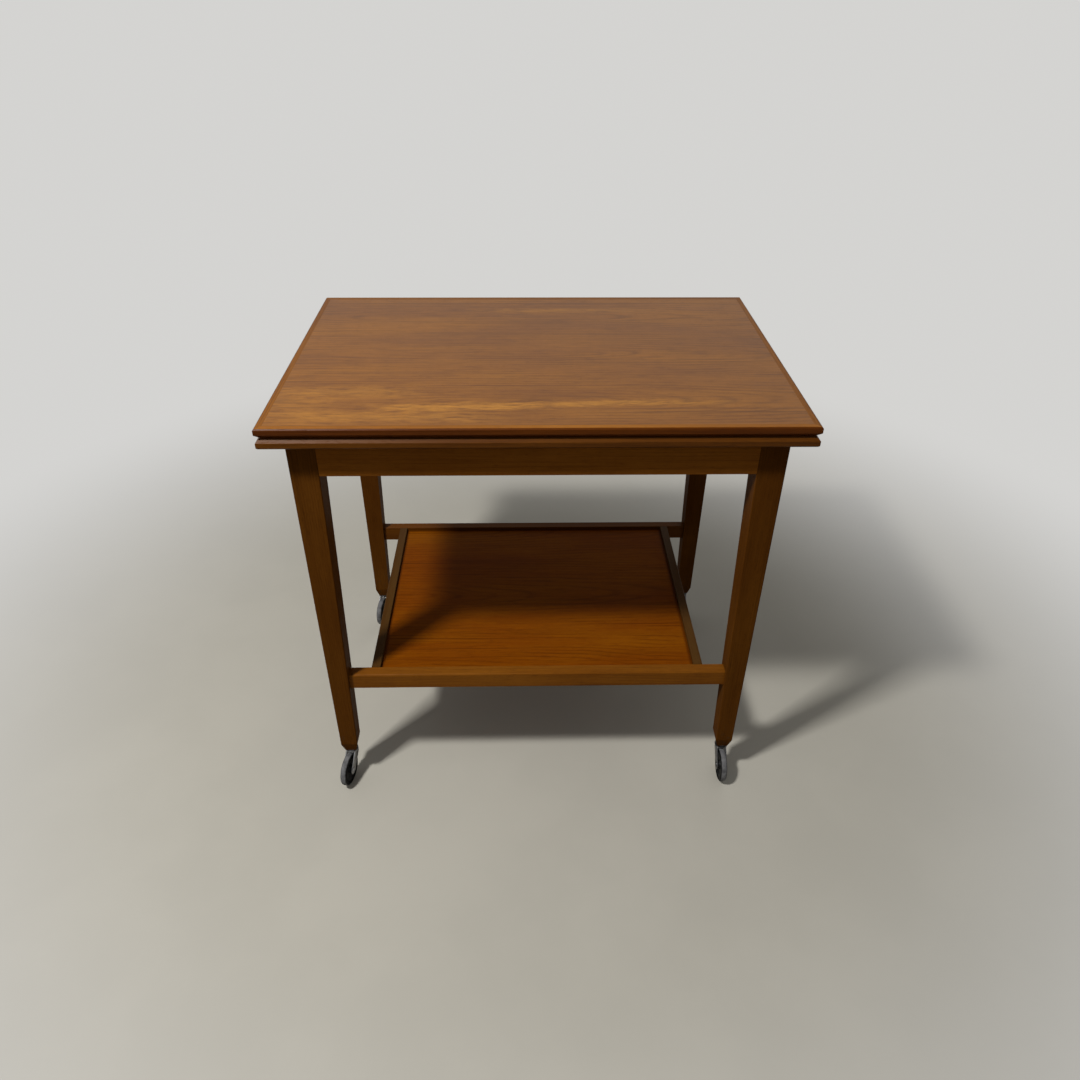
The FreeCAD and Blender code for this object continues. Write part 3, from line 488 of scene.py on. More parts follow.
@dataclass(frozen=True)
class Rings:
    """Where a log's yearly rings meet the face of a board.

    Args:
        taper: How far the heart leaves a crown cut face for each metre along it.
        heart: How far under that face the heart lies.
        swing: How far this differs from one veneer leaf to the next.
        turn: How far the swing goes on from one leaf to the next, in radians.
        crown_pitch: How many times wider than straight rings crown cut ones lie.
        crown_wander: How far the slow bends move crown cut rings.
        crown_ripple: How far the quick bends move them.
        slant: How far straight rings move across for each metre of depth.
        lean: How far they move across for each metre along.
        straight_wander: How far the slow bends move straight rings.
        straight_ripple: How far the quick bends move them.
        sharpness: The power that narrows the late wood to lines.
        slow: The noise of the slow bends.
        quick: The noise of the quick bends.
        clear: Where the rings show.
    """

    taper: float = 0.085
    heart: float = 0.018
    swing: float = 0.014
    turn: float = 0.37
    crown_pitch: float = 1.9
    crown_wander: float = 0.055
    crown_ripple: float = 0.0022
    slant: float = 0.6
    lean: float = 0.006
    straight_wander: float = 0.016
    straight_ripple: float = 0.0012
    sharpness: float = 4.0
    slow: Layer = Layer(0.42, 0.11)
    quick: Layer = Layer(0.05, 0.02)
    clear: Layer = Layer(0.16, 0.022, 3.0, 0.6, step=(0.34, 0.62))

    def crown(self, timber: Timber, leaf: float) -> Field:
        """Measure how far the heart of the log is from a crown cut face.

        Args:
            timber: The point of the wood.
            leaf: Width of one veneer leaf.

        Returns:
            The distance.
        """
        leaves = timber.across / leaf + 0.5
        swing = (leaves.whole() * self.turn + timber.seed).sine() * self.swing
        inside = (leaves.part() - 0.5) * leaf
        bend = (timber.noise(self.slow) - 0.5) * self.crown_wander
        heart = timber.along * self.taper + (swing + self.heart) + bend
        ripple = (timber.noise(self.quick) - 0.5) * self.crown_ripple
        return (inside * inside + heart * heart).root() + ripple

    def straight(self, timber: Timber) -> Field:
        """Measure how far across the rings a point of a quarter cut face is.

        Args:
            timber: The point of the wood.

        Returns:
            The distance.
        """
        bend = (timber.noise(self.slow) - 0.5) * self.straight_wander
        ripple = (timber.noise(self.quick) - 0.5) * self.straight_ripple
        return timber.across + timber.depth * self.slant + timber.along * self.lean + bend + ripple

    def late_wood(self, timber: Timber, distance: Field, pitch: float) -> Field:
        """Draw the dark lines of late wood.

        Args:
            timber: The point of the wood.
            distance: How far across the rings it is.
            pitch: How wide a year's ring is.

        Returns:
            How dark it is, from 0 to 1.
        """
        wave = (distance * (2.0 * math.pi / pitch)).sine() * 0.5 + 0.5
        return wave ** self.sharpness * timber.mask(self.clear)


@dataclass(frozen=True)
class Streak:
    """A lighter streak in a board.

    Args:
        along: Where its middle is along the fibres.
        across: Where its middle is across them.
        length: Half its length.
        width: Half its width.
        strength: How much lighter it is, from 0 to 1.
        lean: How far it moves across for each metre along.
    """

    BEND_LENGTH = 0.13
    BEND = 0.016
    FRAYED_SIDE = 0.024
    FRAYED_END = 0.10
    FULL = 0.25
    BETWEEN_FLAMES = (0.80, 0.36)

    along: float
    across: float
    length: float
    width: float
    strength: float
    lean: float = 0.0

    @classmethod
    def bend(cls, timber: Timber) -> Field:
        """Return how far a board's streaks are bent across it."""
        slow = timber.bench.noise(timber.along / cls.BEND_LENGTH + timber.seed, 1.0, 0.0, 3.0, 0.55)
        return (slow - 0.5) * cls.BEND

    def share(self, timber: Timber, bend: Field, flames: Field) -> Field:
        """Work out how much of the streak's colour shows.

        Args:
            timber: The point of the wood.
            bend: How far the board's streaks are bent across it.
            flames: The noise of the flames, which frays the streak.

        Returns:
            The share, from 0 to 1.
        """
        off = abs(timber.across + bend - self.across - (timber.along - self.along) * self.lean)
        body = (off + (flames - 0.5) * self.FRAYED_SIDE).rise(self.width, 0.0)
        from_middle = abs(timber.along - self.along) + (flames - 0.5) * self.FRAYED_END
        reach = from_middle.rise(self.length, self.length * self.FULL)
        return body * reach * flames.rise(*self.BETWEEN_FLAMES) * self.strength


@dataclass(frozen=True)
class Tray:
    """A recessed field between rails, with shade painted along them.

    Args:
        half_width: Half its width.
        front: Where its front edge is.
        back: Where its back edge is.
        reach: How far from the rails the painted shade reaches.
        strength: How much it darkens the wood, from 0 to 1.
    """

    FRAYED = 0.004
    FULL = 0.3

    half_width: float
    front: float
    back: float
    reach: float = 0.006
    strength: float = 0.72

    def painted_rail_shade(self, bench: Bench, flames: Field) -> Field:
        """Work out where shade is painted along the rails.

        Args:
            bench: The workbench of the material.
            flames: The noise of the flames, which frays the painted shade.

        Returns:
            How much it darkens the wood, from 0 to 1.
        """
        # painted shade: the panel darkens towards the rails, as in the shade of the recess
        x, y, _ = bench.place()
        from_rail = (self.half_width - abs(x)).lesser(y - self.front).lesser(self.back - y)
        frayed = from_rail + (flames - 0.5) * self.FRAYED
        return frayed.rise(self.reach, self.reach * self.FULL) * self.strength


@dataclass(frozen=True)
class Teak(Finish):
    """Oiled teak, as solid wood or veneer, worked out from a log's rings and fibres.

    Args:
        grain: Which way the fibres run.
        figure: How it was cut.
        pale: Colour of the lightest early wood.
        warm: The colour that most of it has.
        dark: Colour of the late wood and the veins.
        gold: Colour of the lighter streaks.
        ring: Mean width of a year's ring on the face.
        leaf: Width of one veneer leaf of a crown cut face.
        ring_share: How strongly the rings show.
        vein_share: How strongly the thin dark veins show.
        fleck_share: How strongly the short dark flecks show.
        flame_share: How strongly the short wavy flames show.
        sheen_spread: Roughness of the oiled surface.
        sheen_level: How strongly the oiled surface reflects.
        seed: A shift that gives each piece its own part of the log.
        streaks: Lighter streaks along the board.
        scuffed_foot: Height up to which the wood is scuffed and soiled.
        tray: The field along whose rails shade is painted on the panel, if any.
    """

    RINGS = Rings()
    CLOUD = Layer(0.33, 0.075, 3.0, sink=1.0, step=(0.30, 0.72))
    BANDS = Layer(0.60, 0.013, 4.0, 0.6, shift=2.0, step=(0.42, 0.72))
    FIBRES = Layer(0.05, 0.0014, 3.0, 0.6, shift=3.0, step=(0.30, 0.85))
    FLECKS = Layer(0.022, 0.0017, shift=4.0, step=(0.58, 0.72))
    VEINS = Layer(0.55, 0.0052, shift=5.0, wander=0.15, step=(0.60, 0.72))
    FLAMES = Layer(0.036, 0.0064, 4.0, 0.66, shift=6.0)
    PORES = Layer(0.011, 0.00055, 1.0, shift=7.0, step=(0.60, 0.74))
    SWIRL = Layer(0.060, 0.020, shift=8.0)
    SWIRL_REACH = 0.012
    PALE_FLAMES = (0.50, 0.32)
    DARK_FLAMES = (0.52, 0.72)
    DARK_BANDS = (0.50, 0.78)
    BAND_SHARE = 0.55
    DARK_BAND_SHARE = 0.38
    FIBRE_SHARE = 0.28
    PORE_SHARE = 0.45
    CLOUD_ROUGH, PORE_ROUGH, FIBRE_ROUGH = 0.10, 0.10, 0.06
    FIBRE_HEIGHT, PORE_HEIGHT, RING_HEIGHT = 0.28, 0.52, 0.20
    PORE_DEPTH = 0.00012
    RELIEF = 0.55
    SCUFF = 0.007
    SCUFF_STEP = (0.52, 0.66)
    FULLY_SCUFFED = 0.30
    SCUFF_ROUGH = 0.20
    SOIL = (0.045, 0.030, 0.020)
    SOIL_SHARE = 0.55

    grain: Grain
    figure: Figure = Figure.STRAIGHT
    pale: Colour = (0.245, 0.093, 0.010)
    warm: Colour = (0.168, 0.058, 0.0055)
    dark: Colour = (0.060, 0.018, 0.002)
    gold: Colour = (0.35, 0.148, 0.016)
    ring: float = 0.0042
    leaf: float = 0.164
    ring_share: float = 0.30
    vein_share: float = 0.40
    fleck_share: float = 0.30
    flame_share: float = 0.14
    sheen_spread: float = 0.38
    sheen_level: float = 0.22
    seed: float = 0.0
    streaks: tuple[Streak, ...] = ()
    scuffed_foot: float = 0.0
    tray: Tray | None = None

    def _axes(self, bench: Bench) -> tuple[Field, Field, Field]:
        """Return coordinates along the fibres, across the face, and into the wood."""
        return self.grain.turn(bench.place())

    def _late_wood(self, timber: Timber) -> Field:
        """Draw the year's rings of this piece's cut.

        Args:
            timber: The point of the wood.

        Returns:
            How dark the rings are, from 0 to 1.
        """
        plan = self.RINGS
        if self.figure is Figure.CROWN:
            distance, pitch = plan.crown(timber, self.leaf), self.ring * plan.crown_pitch
        else:
            distance, pitch = plan.straight(timber), self.ring
        return plan.late_wood(timber, distance, pitch)

    def _shaded(self, bench: Bench, colour: Field) -> Field:
        """Return the colour with any painted shade; plain teak has none."""
        return colour

    def make(self) -> bpy.types.Material:
        """Build the material.

        Returns:
            The material.
        """
        bench = self.bench()
        timber = Timber(bench, *self._axes(bench), self.seed)
        cloud = timber.noise(self.CLOUD)
        bands = timber.noise(self.BANDS)
        fibres = timber.noise(self.FIBRES)
        pores = timber.mask(self.PORES)
        swirl = timber.noise(self.SWIRL) - 0.5
        flames = replace(timber, across=timber.across + swirl * self.SWIRL_REACH).noise(self.FLAMES)
        rings = self._late_wood(timber)
        washes = [
            (bands.rise(*self.BANDS.step) * self.BAND_SHARE, self.warm),
            (flames.rise(*self.PALE_FLAMES) * self.flame_share, self.pale),
            (flames.rise(*self.DARK_FLAMES) * self.flame_share, self.dark),
            (rings * self.ring_share, self.dark),
            ((1.0 - bands).rise(*self.DARK_BANDS) * self.DARK_BAND_SHARE, self.dark),
            (timber.mask(self.VEINS) * self.vein_share, self.dark),
            (fibres.rise(*self.FIBRES.step) * self.FIBRE_SHARE, self.dark),
        ]
        if self.streaks:
            bend = Streak.bend(timber)
            washes += [(streak.share(timber, bend, flames), self.gold) for streak in self.streaks]
        washes.append((timber.mask(self.FLECKS) * self.fleck_share, self.dark))
        washes.append((pores * self.PORE_SHARE, self.dark))
        # painted shade along the shelf's rails
        if self.tray:
            washes.append((self.tray.painted_rail_shade(bench, flames), self.dark))
        rough = self.sheen_spread + (cloud - 0.5) * self.CLOUD_ROUGH
        rough = rough + pores * self.PORE_ROUGH + (fibres - 0.5) * self.FIBRE_ROUGH
        if self.scuffed_foot:
            low = bench.place()[2].rise(self.scuffed_foot, self.scuffed_foot * self.FULLY_SCUFFED)
            marks = bench.patches(Speckle(self.SCUFF, self.seed, 5.0, 0.65, self.SCUFF_STEP))
            washes.append((low * marks * self.SOIL_SHARE, self.SOIL))
            rough = rough + low * marks * self.SCUFF_ROUGH
        colour = bench.blend(cloud.rise(*self.CLOUD.step), self.warm, self.pale)
        for share, tone in washes:
            colour = bench.blend(share, colour, tone)
        height = fibres * self.FIBRE_HEIGHT + (1.0 - pores) * self.PORE_HEIGHT
        height = height + rings * self.RING_HEIGHT
        return bench.finish(
            Base_Color=self._shaded(bench, colour),
            Roughness=rough,
            Specular_IOR_Level=self.sheen_level,
            Normal=bench.relief(height, self.PORE_DEPTH, self.RELIEF),
        )


@dataclass(frozen=True)
class EdgingTeak(Teak):
    """Solid strips round a leaf, mitred at its corners, each with its fibres along it.

    Args:
        painted_shade_tint: Painted shade that multiplies the colour on upright faces, and on bevels
            of the side and back strips.
        away_painted_shade: Painted shade that multiplies the colour of the side and back strips.
        half_width: Half the leaf's width.
        front: Where its front edge is.
        back: Where its back edge is.
    """

    UPRIGHT = (0.97, 0.70)
    BEVELLED = (0.97, 0.86)
    BACK_HALF = (-0.01, 0.01)

    painted_shade_tint: Colour = (1.0, 1.0, 1.0)
    away_painted_shade: Colour = (0.68, 0.65, 0.62)
    half_width: float = 0.370
    front: float = -0.24725
    back: float = 0.25765

    def _side_strip(self, x: Field, y: Field) -> Field:
        """Return 1 on the side strips, and 0 on the front and back ones."""
        return (self.half_width - abs(x)).below((y - self.front).lesser(self.back - y))

    def _axes(self, bench: Bench) -> tuple[Field, Field, Field]:
        """Turn the coordinates with each strip.

        Args:
            bench: The workbench of the material.

        Returns:
            Coordinates along the fibres, across the face, and into the wood.
        """
        x, y, z = bench.place()
        side = self._side_strip(x, y)
        return x + (y - x) * side, y + (x - y) * side, z

    def _shaded(self, bench: Bench, colour: Field) -> Field:
        """Darken the side and back strips, and all upright faces, as painted shade.

        Args:
            bench: The workbench of the material.
            colour: The strips' colour.

        Returns:
            The colour with its painted shade.
        """
        x, y, _ = bench.place()
        side = self._side_strip(x, y)
        away = side + (1.0 - side) * y.rise(*self.BACK_HALF)
        level = bench.level()
        # painted shade: upright faces, and the bevels of the side and back strips, are darkened as
        # if out of the light
        shaded_faces = level.rise(*self.UPRIGHT)
        shaded_faces = shaded_faces + (1.0 - shaded_faces) * away * level.rise(*self.BEVELLED)
        # painted shade: the side and back strips are darker, as if turned away from the light
        colour = bench.blend(away, colour, self.away_painted_shade, "MULTIPLY")
        return bench.blend(shaded_faces, colour, self.painted_shade_tint, "MULTIPLY")


@dataclass(frozen=True)
class Beech(Finish):
    """Bare beech with its short dark flecks.

    Args:
        grain: Which way the fibres run.
        dark: Colour of the darker clouds.
        pale: Colour of the paler clouds.
        fleck: Colour of the flecks.
        gloss_spread: Roughness of the bare wood.
    """

    CLOUD = Layer(0.25, 0.03, 3.0, step=(0.3, 0.7))
    FLECKS = Layer(0.0035, 0.0006, 1.0, step=(0.60, 0.72))
    FLECK_SHARE = 0.4
    FLECK_DEPTH = 0.0001

    grain: Grain = Grain.CROSS
    dark: Colour = (0.44, 0.27, 0.14)
    pale: Colour = (0.56, 0.38, 0.22)
    fleck: Colour = (0.28, 0.15, 0.07)
    gloss_spread: float = 0.62

    def make(self) -> bpy.types.Material:
        """Build the material.

        Returns:
            The material.
        """
        bench = self.bench()
        timber = Timber(bench, *self.grain.turn(bench.place()))
        flecks = timber.mask(self.FLECKS)
        colour = bench.blend(timber.mask(self.CLOUD), self.dark, self.pale)
        return bench.finish(
            Base_Color=bench.blend(flecks * self.FLECK_SHARE, colour, self.fleck),
            Roughness=self.gloss_spread + flecks * 0.1,
            Normal=bench.relief(1.0 - flecks, self.FLECK_DEPTH, 0.4),
        )


# ---------------------------------------------------------------- other finishes


@dataclass(frozen=True)
class Metal(Finish):
    """A plated or bare metal with fine scratches and dull spots.

    Args:
        bright: Colour where the surface is clean.
        dull: Colour of the tarnish or oxide.
        dull_share: How much of the surface is dull, from 0 to 1.
        gloss_spread: Roughness of the clean surface.
        spot: Width of a dull patch.
        seed: A shift that gives another part of the pattern.
    """

    SCRATCH = 0.0004
    SCRATCH_LENGTH = 0.006
    SCRATCH_STEP = (0.55, 0.75)
    SCRATCH_SHARE = 0.25
    SCRATCH_DEPTH = 0.00003
    DULL_METALLIC = 0.45
    DULL_ROUGH = 0.30
    SCRATCH_ROUGH = 0.10

    bright: Colour = (0.50, 0.50, 0.49)
    dull: Colour = (0.22, 0.21, 0.19)
    dull_share: float = 0.35
    gloss_spread: float = 0.30
    spot: float = 0.006
    seed: float = 0.0

    def make(self) -> bpy.types.Material:
        """Build the material.

        Returns:
            The material.
        """
        bench = self.bench()
        x, y, z = bench.place()
        share = self.dull_share
        step = (0.78 - 0.45 * share, 0.86 - 0.30 * share)
        dull = bench.patches(Speckle(self.spot, self.seed, 4.0, 0.62, step))
        upright = z / self.SCRATCH_LENGTH + self.seed
        scratches = bench.noise(x / self.SCRATCH, y / self.SCRATCH, upright, 2.0, 0.6)
        colour = bench.blend(dull, self.bright, self.dull)
        scored = scratches.rise(*self.SCRATCH_STEP) * self.SCRATCH_SHARE
        rough = self.gloss_spread + dull * self.DULL_ROUGH
        return bench.finish(
            Base_Color=bench.blend(scored, colour, self.dull),
            Metallic=1.0 - dull * self.DULL_METALLIC,
            Roughness=rough + (scratches - 0.5) * self.SCRATCH_ROUGH,
            Normal=bench.relief(scratches, self.SCRATCH_DEPTH, 0.35),
        )


@dataclass(frozen=True)
class Rubber(Finish):
    """Black rubber, polished on its sides, with a worn grey tread.

    Args:
        side: Colour of the side walls.
        dust: Colour of the dusty tread.
        gloss_spread: Roughness of the side walls.
        sheen_level: How strongly they reflect.
    """

    GRIT = Speckle(0.0016, 3.0, 5.0, 0.65)
    GRIT_DEPTH = 0.00010
    CLOUD = Speckle(0.011, 9.0, 3.0, 0.6, (0.52, 0.72))
    FILM_SHARE = 0.10
    WORN = (0.10, 0.80)

    side: Colour = (0.004, 0.004, 0.004)
    dust: Colour = (0.145, 0.145, 0.150)
    gloss_spread: float = 0.42
    sheen_level: float = 0.02

    def make(self) -> bpy.types.Material:
        """Build the material.

        Returns:
            The material.
        """
        bench = self.bench()
        tread = bench.attribute(WheelSet.TREAD)
        grit = bench.speckle(self.GRIT)
        cloud = bench.speckle(self.CLOUD)
        scrubbed = tread * (0.62 + (cloud - 0.5) * 0.9) + (grit - 0.5) * 0.22 * tread
        worn = scrubbed.rise(*self.WORN)
        film = cloud.rise(*self.CLOUD.step) * self.FILM_SHARE
        return bench.finish(
            Base_Color=bench.blend(worn + film, self.side, self.dust),
            Specular_IOR_Level=self.sheen_level,
            Roughness=self.gloss_spread + worn * 0.45 + (grit - 0.5) * 0.12,
            Normal=bench.relief(grit, self.GRIT_DEPTH, 0.5),
        )


@dataclass(frozen=True)
class Enamel(Finish):
    """Dark stove enamel on pressed metal, chipped a little and dusty in its corners.

    Args:
        base: Colour of the enamel.
        dust: Colour of the dust on it.
        metal: Colour of the metal where it is chipped.
        gloss_spread: Roughness of the clean enamel.
        sheen_level: How strongly it reflects.
    """

    DUST = Speckle(0.004, 5.0, 4.0, 0.62, (0.50, 0.74))
    DUST_SHARE = 0.14
    PEEL = Speckle(0.0011, 1.0, 1.0, 0.5)
    PEEL_DEPTH = 0.00008
    CHIPS = Speckle(0.0022, 8.0, 3.0, 0.6, (0.70, 0.74))

    base: Colour = (0.008, 0.008, 0.0085)
    dust: Colour = (0.17, 0.165, 0.155)
    metal: Colour = (0.33, 0.32, 0.30)
    gloss_spread: float = 0.38
    sheen_level: float = 0.08

    def make(self) -> bpy.types.Material:
        """Build the material.

        Returns:
            The material.
        """
        bench = self.bench()
        dust = bench.patches(self.DUST)
        dusty = bench.blend(dust * self.DUST_SHARE, self.base, self.dust)
        return bench.finish(
            Base_Color=bench.blend(bench.patches(self.CHIPS), dusty, self.metal),
            Specular_IOR_Level=self.sheen_level,
            Roughness=self.gloss_spread + dust * 0.25,
            Normal=bench.relief(bench.speckle(self.PEEL), self.PEEL_DEPTH, 0.3),
        )


@dataclass(frozen=True)
class Felt(Finish):
    """Green wool felt, worn pale in places.

    Args:
        deep: Colour between the tufts.
        tuft: Colour of the tufts.
        bare: Colour where it is worn.
        sheen: How strongly its fibres shine.
    """

    TUFTS = Speckle(0.0012, 2.0, 5.0, 0.7, (0.35, 0.68))
    TUFT_DEPTH = 0.0004
    WORN = Speckle(0.005, 6.0, 2.0, 0.5, (0.45, 0.70))
    WORN_SHARE = 0.35

    deep: Colour = (0.020, 0.055, 0.024)
    tuft: Colour = (0.060, 0.125, 0.058)
    bare: Colour = (0.13, 0.14, 0.10)
    sheen: float = 0.5

    def make(self) -> bpy.types.Material:
        """Build the material.

        Returns:
            The material.
        """
        bench = self.bench()
        tufts = bench.speckle(self.TUFTS)
        worn = bench.patches(self.WORN) * self.WORN_SHARE
        colour = bench.blend(tufts.rise(*self.TUFTS.step), self.deep, self.tuft)
        return bench.finish(
            Base_Color=bench.blend(worn, colour, self.bare),
            Roughness=0.93 + (tufts - 0.5) * 0.08,
            Sheen_Weight=self.sheen,
            Sheen_Roughness=0.5,
            Normal=bench.relief(tufts, self.TUFT_DEPTH, 0.8),
        )


@dataclass(frozen=True)
class PaleFloor(Finish):
    """A plain pale floor that fades into the surround away from the trolley.

    Args:
        tone: The floor's colour.
        shade: What the colour is multiplied by in its darker patches.
        surround: The colour that it fades into.
        near: How far from the middle the fade starts.
        far: How far from the middle it ends.
        dullness: The floor's roughness.
    """

    MOTTLE = Speckle(0.35, 4.0, 5.0, 0.6, (0.35, 0.65))

    tone: Colour = (0.405, 0.388, 0.338)
    shade: float = 0.95
    surround: Colour = (0.66, 0.655, 0.64)
    near: float = 0.55
    far: float = 1.7
    dullness: float = 0.75

    def make(self) -> bpy.types.Material:
        """Build the material.

        Returns:
            The material.
        """
        bench = self.bench()
        x, y, _ = bench.place()
        darker = tuple(self.shade * part for part in self.tone)
        colour = bench.blend(bench.patches(self.MOTTLE), self.tone, darker)
        floor = bench.node(
            "ShaderNodeBsdfPrincipled", inputs={"Base Color": colour, "Roughness": self.dullness}
        )
        shown = bench.node("ShaderNodeEmission", inputs={"Color": self.surround, "Strength": 1.0})
        fade = (x * x + y * y).root().rise(self.near, self.far) * bench.seen()
        mix = bench.node(
            "ShaderNodeMixShader", inputs={0: fade, 1: floor.outputs[0], 2: shown.outputs[0]}
        )
        bench.node("ShaderNodeOutputMaterial", inputs={"Surface": mix.outputs[0]})
        return bench.owner


# ---------------------------------------------------------------- mesh tools


class Workshop:
    """Mesh tools that the sub-assemblies share."""

    SMOOTH_BELOW = math.radians(38.0)
    HARD_ABOVE = math.radians(40.0)
    FLAT_BELOW = math.radians(0.6)
    SAME_POINT = 2e-6
    SAME_TURNED_POINT = 1e-6

    @staticmethod
    def put(name: str, data: bpy.types.ID) -> bpy.types.Object:
        """Make an object of a mesh, lamp or camera and put it in the scene.

        Args:
            name: The object's name.
            data: The mesh, lamp or camera.

        Returns:
            The object.
        """
        made = bpy.data.objects.new(name, data)
        bpy.context.scene.collection.objects.link(made)
        return made

    @staticmethod
    def form(name: str, mesh: bmesh.types.BMesh, finish: bpy.types.Material) -> bpy.types.Object:
        """Make an object of a bmesh, which is freed.

        Args:
            name: The object's name.
            mesh: The bmesh.
            finish: Its material.

        Returns:
            The object.
        """
        data = bpy.data.meshes.new(name)
        mesh.to_mesh(data)
        mesh.free()
        data.materials.append(finish)
        return Workshop.put(name, data)

    @staticmethod
    def piece(
        name: str,
        mesh: bmesh.types.BMesh,
        finish: bpy.types.Material,
        body: str,
        node: str,
        slot: str,
    ) -> None:
        """Turn a finished bmesh into a piece of the trolley that stands for a CAD node.

        Args:
            name: The piece's name.
            mesh: The bmesh, which is freed.
            finish: Its material.
            body: The body that it moves with.
            node: The node that it replaces.
            slot: The record's material slot that its finish belongs to; not used.
        """
        made = Workshop.form(name, mesh, finish)
        for polygon in made.data.polygons:
            polygon.use_smooth = True
        made.data.set_sharp_from_angle(angle=Workshop.SMOOTH_BELOW)
        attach(made, body)
        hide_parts(node)

    @staticmethod
    def dress(names: Iterable[str], finish: bpy.types.Material) -> None:
        """Give CAD nodes a material.

        Args:
            names: The nodes' names.
            finish: The material.
        """
        for name in names:
            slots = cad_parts[name].data.materials
            slots.clear()
            slots.append(finish)

    @staticmethod
    def ease(node: str, width: float, finish: bpy.types.Material, body: str, slot: str) -> None:
        """Replace a CAD node by a copy whose hard edges are rounded.

        Args:
            node: The node's name.
            width: How wide the rounding is.
            finish: The copy's material.
            body: The body that it moves with.
            slot: The record's material slot that its finish belongs to.
        """
        mesh = bmesh.new()
        mesh.from_mesh(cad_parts[node].data)
        bmesh.ops.remove_doubles(mesh, verts=mesh.verts, dist=Workshop.SAME_POINT)
        bmesh.ops.dissolve_limit(
            mesh, angle_limit=Workshop.FLAT_BELOW, verts=mesh.verts, edges=mesh.edges,
            delimit={"NORMAL"},
        )
        hard = [
            edge
            for edge in mesh.edges
            if len(edge.link_faces) == 2 and edge.calc_face_angle(0.0) > Workshop.HARD_ABOVE
        ]
        bmesh.ops.bevel(
            mesh, geom=hard, offset=width, offset_type="OFFSET", affect="EDGES", segments=2,
            profile=0.5, material=-1, clamp_overlap=True, loop_slide=True,
        )
        bmesh.ops.triangulate(mesh, faces=[face for face in mesh.faces if len(face.verts) > 4])
        Workshop.piece(f"eased_{node}", mesh, finish, body, node, slot)

    @staticmethod
    def turned(side: list[tuple[float, float]], steps: int) -> bmesh.types.BMesh:
        """Turn a shape with two equal sides about the Y axis.

        Args:
            side: Radius and distance from the middle of each corner of one side, in order.
            steps: How many flats a turn has.

        Returns:
            The turned shape.
        """
        outline = side + [(radius, -along) for radius, along in reversed(side)]
        mesh = bmesh.new()
        corners = [mesh.verts.new((radius, along, 0.0)) for radius, along in outline]
        edges = [mesh.edges.new(pair) for pair in zip(corners, corners[1:] + corners[:1])]
        bmesh.ops.spin(
            mesh, geom=corners + edges, cent=(0, 0, 0), axis=(0, 1, 0), dvec=(0, 0, 0),
            angle=2.0 * math.pi, steps=steps, use_merge=True, use_normal_flip=False,
            use_duplicate=False,
        )
        bmesh.ops.remove_doubles(mesh, verts=mesh.verts, dist=Workshop.SAME_TURNED_POINT)
        bmesh.ops.recalc_face_normals(mesh, faces=mesh.faces)
        return mesh


@dataclass(frozen=True)
class SlottedScrew:
    """A countersunk screw with a slot in its head.

    Args:
        radius: The shank's radius.
        head: The head's radius.
        length: The whole length.
    """

    HEAD_STEPS = 28
    SHANK_STEPS = 20
    POINT = 0.25
    HALF_SLOT = 0.13
    SLOT_DEPTH = 0.42
    SLOT_TAPER = 0.86
    LEVEL = 0.9

    radius: float
    head: float
    length: float

    def _cut_slot(
        self, target: bmesh.types.BMesh, made: list[bmesh.types.BMVert]
    ) -> set[bmesh.types.BMVert]:
        """Cut the slot into a head.

        Args:
            target: The bmesh that the head is in.
            made: The head's vertices.

        Returns:
            The vertices of the head and its slot.
        """
        half_slot = self.head * self.HALF_SLOT
        for side in (-1.0, 1.0):
            parts = {face for vert in made for face in vert.link_faces}
            lines = {edge for vert in made for edge in vert.link_edges}
            cut = bmesh.ops.bisect_plane(
                target, geom=list(made) + list(lines) + list(parts),
                plane_co=(0.0, side * half_slot, 0.0), plane_no=(0.0, 1.0, 0.0),
            )
            made = list({*made, *(v for v in cut["geom"] if isinstance(v, bmesh.types.BMVert))})
        floor = [
            face
            for face in {face for vert in made for face in vert.link_faces}
            if face.normal.z > self.LEVEL and abs(face.calc_center_median().y) < half_slot * 0.5
        ]
        sunk = bmesh.ops.extrude_face_region(target, geom=floor)["geom"]
        deep = [item for item in sunk if isinstance(item, bmesh.types.BMVert)]
        bmesh.ops.delete(target, geom=floor, context="FACES_ONLY")
        depth = (self.head - self.radius) * self.SLOT_DEPTH
        bmesh.ops.translate(target, verts=deep, vec=(0.0, 0.0, -depth))
        bmesh.ops.scale(target, verts=deep, vec=(self.SLOT_TAPER, 1.0, 1.0))
        return {*made, *deep}

    def drive(self, target: bmesh.types.BMesh, at: Point, turn: float, point_up: bool) -> None:
        """Add one screw to a bmesh.

        Args:
            target: The bmesh.
            at: The middle of the head's flat face.
            turn: Which way the slot lies, in radians.
            point_up: Whether the point is above the head.
        """
        sink = self.head - self.radius
        head = bmesh.ops.create_cone(
            target, cap_ends=True, cap_tris=False, segments=self.HEAD_STEPS, radius1=self.radius,
            radius2=self.head, depth=sink, matrix=Matrix.Translation((0.0, 0.0, -sink / 2)),
        )["verts"]
        whole = self._cut_slot(target, head)
        rest = self.length - sink
        whole.update(bmesh.ops.create_cone(
            target, cap_ends=True, cap_tris=False, segments=self.SHANK_STEPS,
            radius1=self.radius * self.POINT, radius2=self.radius, depth=rest,
            matrix=Matrix.Translation((0.0, 0.0, -sink - rest / 2)),
        )["verts"])
        spin = Matrix.Rotation(turn, 4, "Z")
        if point_up:
            spin = Matrix.Rotation(math.pi, 4, "X") @ spin
        bmesh.ops.transform(target, matrix=Matrix.Translation(at) @ spin, verts=list(whole))


# ---------------------------------------------------------------- sub-assemblies


SIDES = {"front": Grain.LONG, "back": Grain.LONG, "left": Grain.CROSS, "right": Grain.CROSS}


